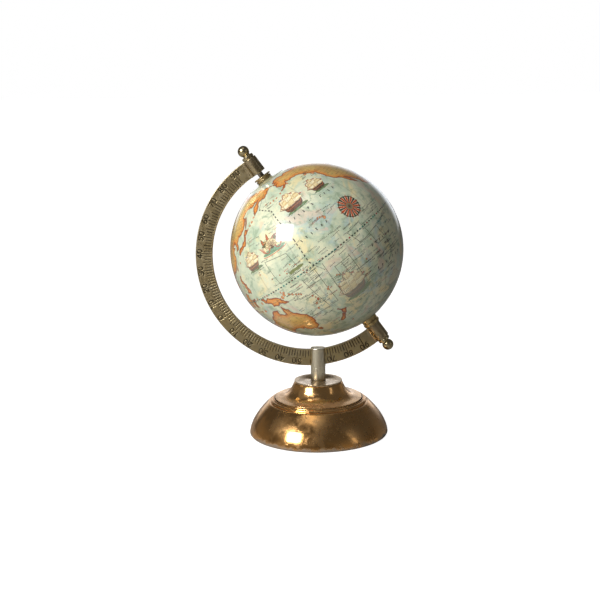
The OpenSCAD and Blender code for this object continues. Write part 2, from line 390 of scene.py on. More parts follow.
def brass(name):
    look = brassLooks[name]
    material, tree, shader = newMaterial(name)
    patina = useGroup(tree, "patina", Scale=look["patches"], Coverage=look["coverage"])
    grime = useGroup(tree, "patina", Scale=look["patches"] * 5, Coverage=0.16, Softness=0.06)
    wear = useGroup(tree, "edgeWear", Amount=look["wear"])
    scratch = useGroup(tree, "scratches", Amount=look["scratch"])
    colour = blendColour(tree, patina["Mask"], look["bright"], look["dull"])
    for mask, amount, tint in ((patina["Cloud"], 0.35, "rubbed"), (grime["Mask"], 0.6, "dark"),
                               (scratch["Mask"], 0.5, "rubbed"), (scratch["Pits"], 1.0, "dark"),
                               (wear["Mask"], 1.0, "rubbed")):
        colour = stain(tree, colour, mask, amount, look[tint])
    rough = span(tree, patina["Mask"], 0, 1, look["smooth"], look["rough"])
    rough = plus(tree, rough, times(tree, grime["Mask"], 0.2))
    metal = span(tree, grime["Mask"], 0, 1, 1.0, 0.6)
    bumps = [(scratch["Mask"], -0.03, 0.5), (scratch["Pits"], -0.06, 0.5), (grime["Cloud"], 0.01, 0.2)]
    if "dust" in look:
        bumps.append((scratch["Dents"], -0.05, 0.3))
        colour, rough, metal = addDust(tree, look, patina["Cloud"], colour, rough, metal)
    # painted crevice shade, and the grey foot with its painted floor reflection
    if "foot" in look:
        colour, rough, metal = addCreviceShadeAndFoot(tree, look, colour, rough, metal)
    if look["rings"]:
        bumps.append((useGroup(tree, "spinMarks")["Height"], 0.02, look["rings"]))
    if name == "arcAntique":
        # the cut scale is filled with dark wax
        cut = valueOf(tree, "engraved")
        filled = times(tree, cut, span(tree, patina["Cloud"], 0, 1, 0.85, 1.0))
        colour = blendColour(tree, filled, colour, look["dark"])
        rough = plus(tree, rough, times(tree, cut, 0.22))
    for label, value in (("Base Color", colour), ("Roughness", rough), ("Metallic", metal)):
        tree.links.new(value, shader.inputs[label])
    joinBump(tree, shader, bumps)
    return material


finishes = {name: brass(name) for name in brassLooks}
print("brass ready")


view = {"distance": 0.8, "height": 0.256, "tiltDown": 10.95, "roll": 0.62, "lens": 66.0, "shiftSide": -0.029}


def addCamera():
    camera = bpy.data.objects.new("camera", bpy.data.cameras.new("camera"))
    camera.data.lens = view["lens"]
    camera.data.sensor_width = 36.0
    camera.data.shift_x = view["shiftSide"]
    camera.data.clip_start = 0.01
    aim = Matrix.Rotation(math.radians(90 - view["tiltDown"]), 4, "X")
    roll = Matrix.Rotation(math.radians(-view["roll"]), 4, "Z")
    camera.matrix_world = Matrix.Translation((0, -view["distance"], view["height"])) @ aim @ roll
    bpy.context.scene.collection.objects.link(camera)
    bpy.context.scene.camera = camera


lamps = {
    # degrees from the front to the left and upwards, metres from the globe, width, height, turn and watts;
    # roomFill is soft daylight that lights the print and doesn't show in the gloss
    "window": (46, 26, 1.1, 0.42, 0.38, 14, 12.2),
    "ceiling": (30, 70, 1.3, 0.7, 0.5, 0, 1.1),
    "rightStrip": (-62, 18, 1.3, 0.16, 0.7, 0, 0.3),
    "leftSheet": (80, 34, 1.3, 0.7, 0.7, 0, 0.15),
    "roomFill": (30, 2, 1.4, 1.0, 1.0, 0, 3.5),
}
room = {"behind": (1.5, 1.56, 1.65), "ahead": (0.215, 0.195, 0.16), "above": (0.09, 0.09, 0.09),
        "below": (0.06, 0.055, 0.045), "shapes": 2.3, "dim": 0.25}
# the drop in millimetres keeps the floor off the felt's face
floorLook = {"size": 30.0, "drop": 0.05, "colour": (0.48, 0.46, 0.43), "glow": 0.97}


def addLamps():
    for name, (azimuth, elevation, distance, width, height, turn, watts) in lamps.items():
        a, e = math.radians(azimuth), math.radians(elevation)
        away = Vector((-math.sin(a) * math.cos(e), -math.cos(a) * math.cos(e), math.sin(e)))
        light = bpy.data.lights.new(name, "AREA")
        light.shape = "RECTANGLE"
        light.size, light.size_y, light.energy = width, height, watts
        made = bpy.data.objects.new(name, light)
        aim = (-away).to_track_quat("-Z", "Y").to_matrix().to_4x4()
        place = Matrix.Translation(Vector(spin["pos_m"]) + away * distance)
        made.matrix_world = place @ aim @ Matrix.Rotation(math.radians(turn), 4, "Z")
        made.visible_glossy = name != "roomFill"
        bpy.context.scene.collection.objects.link(made)


def addWorld():
    # white behind the object, and a darker room in front of it for the metal to reflect
    world = bpy.data.worlds.new("studio")
    world.use_nodes = True
    tree = world.node_tree
    seen = addNode(tree, "LightPath").outputs["Is Camera Ray"]
    ray = addNode(tree, "TexCoord").outputs["Generated"]
    way = addNode(tree, "SeparateXYZ", {0: ray}).outputs
    # plain blocks of lighter and darker wall and furniture
    blocks = addNode(tree, "TexVoronoi", {"Vector": ray, "Scale": room["shapes"]},
                     distance="CHEBYCHEV").outputs["Color"]
    shade = addNode(tree, "SeparateColor", {0: blocks}).outputs[0]
    # brighter for the gloss than for the print, as plain walls are that stand far off
    gloss = addNode(tree, "LightPath").outputs["Is Glossy Ray"]
    strength = times(tree, span(tree, shade, 0.2, 0.85, 0.45, 1.0), span(tree, gloss, 0, 1, room["dim"], 1.0))
    ahead = blendColour(tree, strength, (0.0, 0.0, 0.0), room["ahead"])
    around = blendColour(tree, span(tree, way["Y"], 0.76, 0.995), ahead, room["behind"])
    around = blendColour(tree, span(tree, way["Z"], 0.12, 0.55), around, room["above"])
    around = blendColour(tree, span(tree, way["Z"], -0.5, -0.05, 1.0, 0.0), around, room["below"])
    tree.links.new(blendColour(tree, seen, around, (1.0, 1.0, 1.0)), tree.nodes["Background"].inputs["Color"])
    bpy.context.scene.world = world


def addFloor():
    material, tree, shader = newMaterial("paleFloor")
    seen = addNode(tree, "LightPath").outputs["Is Camera Ray"]
    shader.inputs["Base Color"].default_value = (*floorLook["colour"], 1)
    shader.inputs["Roughness"].default_value = 0.8
    shader.inputs["Specular IOR Level"].default_value = 0.2
    tree.links.new(blendColour(tree, seen, (0.0, 0.0, 0.0), (1.0, 1.0, 1.0)), shader.inputs["Emission Color"])
    shader.inputs["Emission Strength"].default_value = floorLook["glow"]
    mesh = bpy.data.meshes.new("floor")
    size = floorLook["size"]
    corners = [(-size, -size, 0), (size, -size, 0), (size, size, 0), (-size, size, 0)]
    mesh.from_pydata(corners, [], [(0, 1, 2, 3)])
    mesh.materials.append(material)
    floor = bpy.data.objects.new("floor", mesh)
    floor.location.z = -floorLook["drop"] * mm
    bpy.context.scene.collection.objects.link(floor)


addCamera()
addLamps()
addWorld()
addFloor()
bpy.context.scene.view_settings.view_transform = "Standard"
print("camera and light ready")


arcLook = {"ringShift": 8.0, "tickTurn": 9.46, "ticksBetween": 6, "lastTick": 9, "tickWidth": 0.78,
           "depth": 0.17,
           "tickFrom": 0.9, "tickLength": 4.7, "middleExtra": 0.9, "longMargin": 1.1, "digitHeight": 3.7,
           "digitWidth": 2.5, "digitGap": 0.75, "digitMargin": 1.1, "strokeWidth": 0.78, "bevel": 0.3,
           "rows": 1560, "endMargin": 2.8}
ringFrame = rodFrame @ Matrix.Translation((-arcLook["ringShift"] * mm, 0, 0))
baseShape = {"curvePower": 1.25, "rise": 40.7, "foot": 1.1, "rim": 0.4, "wall": 1.3, "curveEnd": 40,
             "upperBead": (33.1, 0.85), "lowerBead": (34.5, 1.35), "cove": 36.3, "bore": 2.15}
bellShape = {"wall": 1.3, "waist": 22.3, "rimRadius": 0.25, "plateBore": 2.1}
postShape = {"topRound": 0.9, "grooveDepth": 0.22, "stub": 3.5, "rodBore": 2.03, "collarBore": 3.55,
             "slotPlay": 0.05}


def bow(centreX, centreY, radiusX, radiusY, start, end, steps=10):
    # a stretch of an ellipse between two angles in degrees
    angles = [math.radians(start + (end - start) * k / steps) for k in range(steps + 1)]
    return [(centreX + radiusX * math.cos(a), centreY + radiusY * math.sin(a)) for a in angles]


def swept(start, pull, end, steps, first=0):
    # a smooth curve from start to end that leans towards pull
    out = []
    for t in (k / steps for k in range(first, steps + 1)):
        parts = zip(start, pull, end)
        out.append(tuple((1 - t) ** 2 * a + 2 * t * (1 - t) * b + t * t * c for a, b, c in parts))
    return out


def domeProfile(radius, rise, start, end, step):
    # the dome's curve, fuller than a circle
    power, points = baseShape["curvePower"], []
    for k in range(abs(end - start) // step + 1):
        a = math.radians(start + math.copysign(step * k, end - start))
        r = radius * max(math.cos(a), 0.0) ** power
        points.append((r, baseShape["foot"] + rise * max(math.sin(a), 0.0) ** power))
    return points


def makeBase():
    dome = measured("base_dome", upright)
    seat = measured("base_bell", upright)["low"]
    wall = baseShape["wall"]
    upperR, upperBead = baseShape["upperBead"]
    lowerR, lowerBead = baseShape["lowerBead"]
    profile = [(dome["radius"] - wall, baseShape["rim"], 0.2), (dome["radius"] - 0.35, baseShape["rim"], 0.3)]
    profile += domeProfile(dome["radius"], baseShape["rise"], 0, baseShape["curveEnd"], 1)
    profile += [(baseShape["cove"], seat - 3)]
    profile += bow(lowerR, seat - 2, lowerBead, lowerBead, -30, 110, 14)
    profile += bow(upperR, seat - 0.85, upperBead, upperBead, -10, 180, 14)
    bore = baseShape["bore"]
    profile += [(32, seat - 0.8), (31.6, seat, 0.2), (bore, seat), (bore, seat - wall), (30, seat - wall),
                (34, seat - wall - 2.6)]
    profile += domeProfile(dome["radius"] - wall, baseShape["rise"] - wall, 39, 0, 3)
    turned("base_shell", profile, upright, finishes["basePolish"], "stand", ["base_dome"], 256)


def makeBell():
    bell = measured("base_bell", upright)
    seat, top, wall, bore = bell["low"], bell["high"], bellShape["wall"], baseShape["bore"]
    wide, waist = bell["radius"], bellShape["waist"]
    neck = measured("top_plate", upright)["radius"]
    profile = [(bore, top), (neck - 0.4, top), (neck - 0.12, top - 0.25)]
    profile += swept((neck, top), (waist, seat + 1.2), (wide - 4, seat + 1.1), 20, 1)
    profile += [(wide, seat + 0.75, bellShape["rimRadius"]), (wide, seat, 0.15)]
    profile += swept((wide - 6, seat), (waist - wall, seat + 0.5), (neck - wall, top - wall), 10)
    profile += [(bore, top - wall)]
    # a brightened copy of the base's brass: painted light
    finish = finishes["bellPolishLitCopy"]
    turned("base_bell_turned", profile, upright, finish, "stand", ["base_bell"], 224)


def makePlate():
    plate = measured("top_plate", upright)
    edge, bore, low, high = plate["radius"], bellShape["plateBore"], plate["low"], plate["high"]
    profile = [(bore, high), (edge, high, 0.22), (edge, low, 0.15), (bore, low)]
    finish = finishes["platePolish"]
    turned("polished_plate", profile, upright, finish, "stand", ["top_plate"], 192)


def cutSlot(post):
    # the arc's own disc, a little thicker, cut out of the post's head
    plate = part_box("meridian_arc")[1].y + postShape["slotPlay"] * mm
    reach = measured("meridian_arc", ringFrame)["high"] * mm
    disc = bmesh.new()
    bmesh.ops.create_cone(disc, cap_ends=True, segments=256, radius1=reach, radius2=reach, depth=2 * plate,
                          matrix=ringFrame @ Matrix.Rotation(math.pi / 2, 4, "X"))
    mesh = bpy.data.meshes.new("slotCutter")
    disc.to_mesh(mesh)
    disc.free()
    cutter = bpy.data.objects.new("slotCutter", mesh)
    bpy.context.scene.collection.objects.link(cutter)
    cut = post.modifiers.new("slot", "BOOLEAN")
    cut.object = cutter
    cut.solver = "EXACT"
    seen = post.evaluated_get(bpy.context.evaluated_depsgraph_get())
    slotted = bpy.data.meshes.new_from_object(seen)
    post.modifiers.clear()
    post.data = slotted
    slotted.set_sharp_from_angle(angle=math.radians(40))
    bpy.data.objects.remove(cutter)
    bpy.data.meshes.remove(mesh)


def makePost():
    collar = measured("post_collar", upright)
    head = measured("post_head", upright)
    bore, wide, seam = postShape["collarBore"], collar["radius"], collar["high"]
    profile = [(bore, collar["low"]), (bore, seam), (wide, seam, 0.18), (wide, collar["low"], 0.2)]
    finish = finishes["postNickel"]
    turned("post_spacer", profile, upright, finish, "stand", ["post_collar"], 128)
    stub, rod, wide, low = postShape["stub"], postShape["rodBore"], head["radius"], head["low"]
    groove = wide - postShape["grooveDepth"]
    profile = [(stub, low), (rod, low), (rod, seam - 1), (0, seam - 1), (0, head["high"]),
               (wide, head["high"], postShape["topRound"]), (wide, seam + 0.5, 0.1), (groove, seam + 0.45),
               (groove, seam), (stub, seam)]
    cutSlot(turned("post_slotted", profile, upright, finish, "stand", ["post_head"], 128))


makeBase()
makeBell()
makePlate()
makePost()
print("base and post ready")


barrelShape = {"braze": 2.6, "edge": 0.35}
finialShape = {"collar": 4.5, "collarHeight": 2.7, "step": 0.5, "stepDepth": 0.4, "neck": 2.8}
hubShape = {"disc": 6.1, "groove": 0.9, "grooveWidth": 0.5, "bore": 2.3}


def makeBarrel(name, place, node):
    # a cylinder brazed to the arc's plate, with a fillet of braze on both faces
    size = measured(node, place)
    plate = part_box("meridian_arc")[1].y / mm
    radius, fillet = size["radius"], barrelShape["braze"]
    centreX = -math.sqrt((radius + fillet) ** 2 - (plate + fillet) ** 2)
    touch = math.degrees(math.atan2(plate + fillet, centreX))
    bend = bow(centreX, plate + fillet, fillet, fillet, touch - 180, -90, 11)[1:]
    outline = bow(0, 0, radius, radius, -touch, touch, 96) + bend + [(x, -y) for x, y in bend[::-1]]
    outline = np.array(outline)
    middle = np.array([-1.0, 0.0])
    bevel = barrelShape["edge"]
    low, high = size["low"], size["high"]
    levels = [(low, -bevel, 0.0), (low + bevel * 0.3, -bevel * 0.3, 1.0), (low + bevel, 0, 0.0),
              (low + bevel * 1.3, 0, 0.0), (high - bevel * 1.3, 0, 0.0), (high - bevel, 0, 0.0),
              (high - bevel * 0.3, -bevel * 0.3, 1.0), (high, -bevel, 0.0)]
    points, edge, along = [], [], []
    for z, inset, amount in levels:
        away = outline - middle
        ring = middle + away * (1 + inset / np.linalg.norm(away, axis=1, keepdims=True))
        points += [place @ Vector((x * mm, y * mm, z * mm)) for x, y in ring]
        edge += [amount] * len(ring)
        along += [z] * len(ring)
    count = len(outline)
    faces = [list(quad) for quad in gridQuads(len(levels), count, wrap=True)]
    for base, z, flip in ((0, low, True), (count * (len(levels) - 1), high, False)):
        points.append(place @ Vector((middle[0] * mm, 0, z * mm)))
        edge.append(0.0)
        along.append(z)
        for k in range(count):
            fan = [base + k, base + (k + 1) % count, len(points) - 1]
            faces.append(fan[::-1] if flip else fan)
    mesh = bpy.data.meshes.new(name)
    mesh.from_pydata(points, [], [[int(i) for i in face] for face in faces])
    setValues(mesh, {"edge": np.array(edge), "along": np.array(along)})
    addPiece(name, mesh, finishes["barrelDark"], "stand", [node])


def makeFinial(name, place, node):
    size = measured(node, place)
    barrel = size["low"]
    radius, step, depth = finialShape["collar"], finialShape["step"], finialShape["stepDepth"]
    top = barrel + finialShape["collarHeight"]
    ball = (size["high"] - top + 0.2) / 2
    centre = size["high"] - ball
    start = math.degrees(math.acos(finialShape["neck"] / ball))
    profile = [(0, barrel), (radius - depth, barrel), (radius - depth, barrel + step, 0.08),
               (radius, barrel + step, 0.2), (radius, top - depth, 0.2), (radius - depth, top, 0.25),
               (finialShape["neck"], top, 0.15)]
    profile += bow(0, centre, ball, ball, -start, 90, 28)
    turned(name, profile, place, finishes["finialPolish"], "stand", [node], 96)


def makeHub(name, place, node):
    size = measured(node, place)
    low, high, wide = size["low"], size["high"], size["radius"]
    disc, groove, gap, bore = hubShape["disc"], hubShape["groove"], hubShape["grooveWidth"], hubShape["bore"]
    grooveZ = low + (high - low) * 0.49
    profile = [(bore, low), (disc, low, 0.3), (disc, grooveZ, 0.35), (disc - groove, grooveZ, 0.1),
               (disc - groove, grooveZ + gap, 0.1), (wide, grooveZ + gap, 0.3), (wide, high - 0.35, 0.15),
               (wide - 0.3, high - 0.05), (wide - 2.2, high, 0.2), (bore, high)]
    turned(name, profile, place, finishes["hubOlive"], "globe", [node], 128)


def makeWasher():
    size = measured("thrust_washer", southFrame)
    bore, wide, low, high = hubShape["bore"], size["radius"], size["low"], size["high"]
    profile = [(bore, low), (wide, low, 0.15), (wide, high, 0.15), (bore, high)]
    finish = finishes["barrelDark"]
    turned("thrust_washer_turned", profile, southFrame, finish, "stand", ["thrust_washer"], 96)


ends = {"north": rodFrame, "south": southFrame}
for side, place in ends.items():
    makeBarrel(side + "_barrel_brazed", place, side + "_barrel")
    makeFinial(side + "_finial_turned", place, side + "_finial")
    makeHub(side + "_hub_turned", place, side + "_hub")
makeWasher()
print("rod fittings ready")


digits = {
    "0": bow(0.5, 0.5, 0.45, 0.5, 0, 360, 18),
    "1": [(0.2, 0.8), (0.55, 1), (0.55, 0)],
    "2": bow(0.5, 0.7, 0.42, 0.3, 165, -40) + [(0, 0), (1, 0)],
    "3": bow(0.45, 0.75, 0.4, 0.25, 150, -90) + bow(0.45, 0.27, 0.48, 0.27, 90, -150),
    "4": [(0.75, 0), (0.75, 1), (0, 0.3), (1, 0.3)],
    "5": [(0.9, 1), (0.2, 1), (0.12, 0.58)] + bow(0.45, 0.33, 0.48, 0.33, 115, -150),
    "6": bow(0.9, 0.3, 0.85, 0.7, 100, 180, 6) + bow(0.5, 0.3, 0.45, 0.3, 180, 540, 14),
    "7": [(0, 1), (1, 1), (0.35, 0)],
    "8": bow(0.5, 0.75, 0.36, 0.25, -90, 270, 12) + bow(0.5, 0.25, 0.46, 0.25, 90, 450, 14),
    "9": bow(0.1, 0.7, 0.85, 0.7, -80, 0, 6) + bow(0.5, 0.7, 0.45, 0.3, 0, 360, 14),
}


def strokeDistance(u, v, line):
    # distance in millimetres from every point to a polyline
    nearest = np.full(u.shape, 9.0)
    for (x0, y0), (x1, y1) in zip(line, line[1:]):
        dx, dy = x1 - x0, y1 - y0
        t = np.clip(((u - x0) * dx + (v - y0) * dy) / max(dx * dx + dy * dy, 1e-9), 0, 1)
        nearest = np.minimum(nearest, np.hypot(u - x0 - t * dx, v - y0 - t * dy))
    return nearest


def ramp(x, low, high):
    t = np.clip((x - low) / (high - low), 0, 1)
    return t * t * (3 - 2 * t)


def engraving(beta, radius, inner, outer):
    # how deep the scale is cut at each angle and radius, from 0 to 1
    chance = random.Random(7)
    between, length = arcLook["ticksBetween"], arcLook["tickLength"]
    step, last = arcLook["tickTurn"] / between, arcLook["lastTick"] * between
    lean, reach, force = [np.array([chance.uniform(low, high) for _ in range(2 * last + 1)])
                          for low, high in ((-0.12, 0.12), (-0.25, 0.25), (0.7, 1.0))]
    tick = np.clip(np.rint(beta / step), -last, last).astype(int)
    place = tick + last
    start = inner + arcLook["tickFrom"] + reach[place] * 0.3
    end = start + length + reach[place] + (tick % between == between // 2) * arcLook["middleExtra"]
    end = np.where(tick % between == 0, outer - arcLook["longMargin"], end)
    aside = np.radians(beta - tick * step) * radius + lean[place] * (radius - start) / length
    cut = ramp(arcLook["tickWidth"] / 2 + 0.1 - np.abs(aside), 0, 0.2) * ramp(radius - start, -0.1, 0.15)
    cut = cut * ramp(end - radius, -0.1, 0.15) * force[place]
    wide, tall = arcLook["digitWidth"], arcLook["digitHeight"]
    for k in range(-arcLook["lastTick"], arcLook["lastTick"] + 1):
        label = str(abs(k) * 10)
        for n, digit in enumerate(label):
            side = -1 if n == 0 and len(label) > 1 else 1
            middle = side * (arcLook["digitGap"] + wide / 2)
            u = np.radians(beta - k * arcLook["tickTurn"]) * radius - middle + chance.uniform(-0.15, 0.15)
            v = radius - (outer - arcLook["digitMargin"] - tall) + chance.uniform(-0.15, 0.15)
            near = (np.abs(u) < wide) & (v > -1) & (v < tall + 1)
            line = [((x - 0.5) * wide, y * tall) for x, y in digits[digit]]
            away = strokeDistance(u[near], v[near], line)
            cut[near] = np.maximum(cut[near], ramp(arcLook["strokeWidth"] / 2 + 0.1 - away, 0, 0.2))
    return cut


def makeArc():
    thick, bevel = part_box("meridian_arc")[1].y / mm, arcLook["bevel"]
    outer = measured("meridian_arc", ringFrame)["high"]
    barrel = measured("north_barrel", rodFrame)
    inner = outer - (barrel["high"] - barrel["low"]) - 0.1
    # finer across the digits than across the ticks, and coarse where nothing is cut
    front = np.concatenate([np.linspace(0.7, 1.1, 4), np.linspace(2, 5, 4), np.linspace(5.3, 7, 8),
                            np.arange(7.2, outer - inner - 0.5, 0.16)])
    corner = [(1.2, 0, 0), (1, 0, 0.2), (0.3, 0.3, 1), (0, 1, 0.2)]  # inset across, inset through, edge
    section = [(inner + x * bevel, y * bevel - thick, edge) for x, y, edge in corner]
    section += [(inner + x * bevel, thick - y * bevel, edge) for x, y, edge in corner[::-1]]
    section += [((inner + outer) / 2, thick, 0)]
    section += [(outer - x * bevel, thick - y * bevel, edge) for x, y, edge in corner]
    section += [(outer - x * bevel, y * bevel - thick, edge) for x, y, edge in corner[::-1]]
    section += [(inner + r, -thick, 0) for r in reversed(front)]
    section = np.array(section)[::-1]
    end = 90 + math.degrees(math.asin((arcLook["ringShift"] - arcLook["endMargin"]) / outer))
    beta, radius = np.meshgrid(np.linspace(-end, end, arcLook["rows"]), section[:, 0], indexing="ij")
    y = np.broadcast_to(section[:, 1], beta.shape).copy()
    cut = engraving(beta, radius, inner, outer) * (y <= -thick + 1e-6)
    y += cut * arcLook["depth"]
    a = np.radians(beta)
    local = np.stack([-arcLook["ringShift"] - radius * np.cos(a), y, radius * np.sin(a)], -1)
    local = local.reshape(-1, 3) * mm
    turn = np.array(rodFrame)
    points = local @ turn[:3, :3].T + turn[:3, 3]
    count = len(section)
    faces = [list(map(int, quad)) for quad in gridQuads(len(beta), count, wrap=True)]
    faces += [list(range(count))[::-1], list(range((len(beta) - 1) * count, len(beta) * count))]
    mesh = bpy.data.meshes.new("graduated_arc")
    mesh.from_pydata(points, [], faces)
    setValues(mesh, {"edge": np.broadcast_to(section[:, 2], beta.shape), "along": radius, "engraved": cut})
    addPiece("graduated_arc", mesh, finishes["arcAntique"], "stand", ["meridian_arc"])


makeArc()
print("arc ready")


mapLook = {"frontLongitude": -177.4, "seed": 11, "rugged": 0.13, "finestCoast": 0.45, "sink": 0.04,
           "step": 0.5, "inkLift": 0.008, "inkLayer": 0.003, "inkDepth": 0.05, "inkStep": 0.9,
           "washWidth": 4.2, "haloWidth": 5.0, "paper": 0.3, "underSteps": 6, "seam": 0.6}

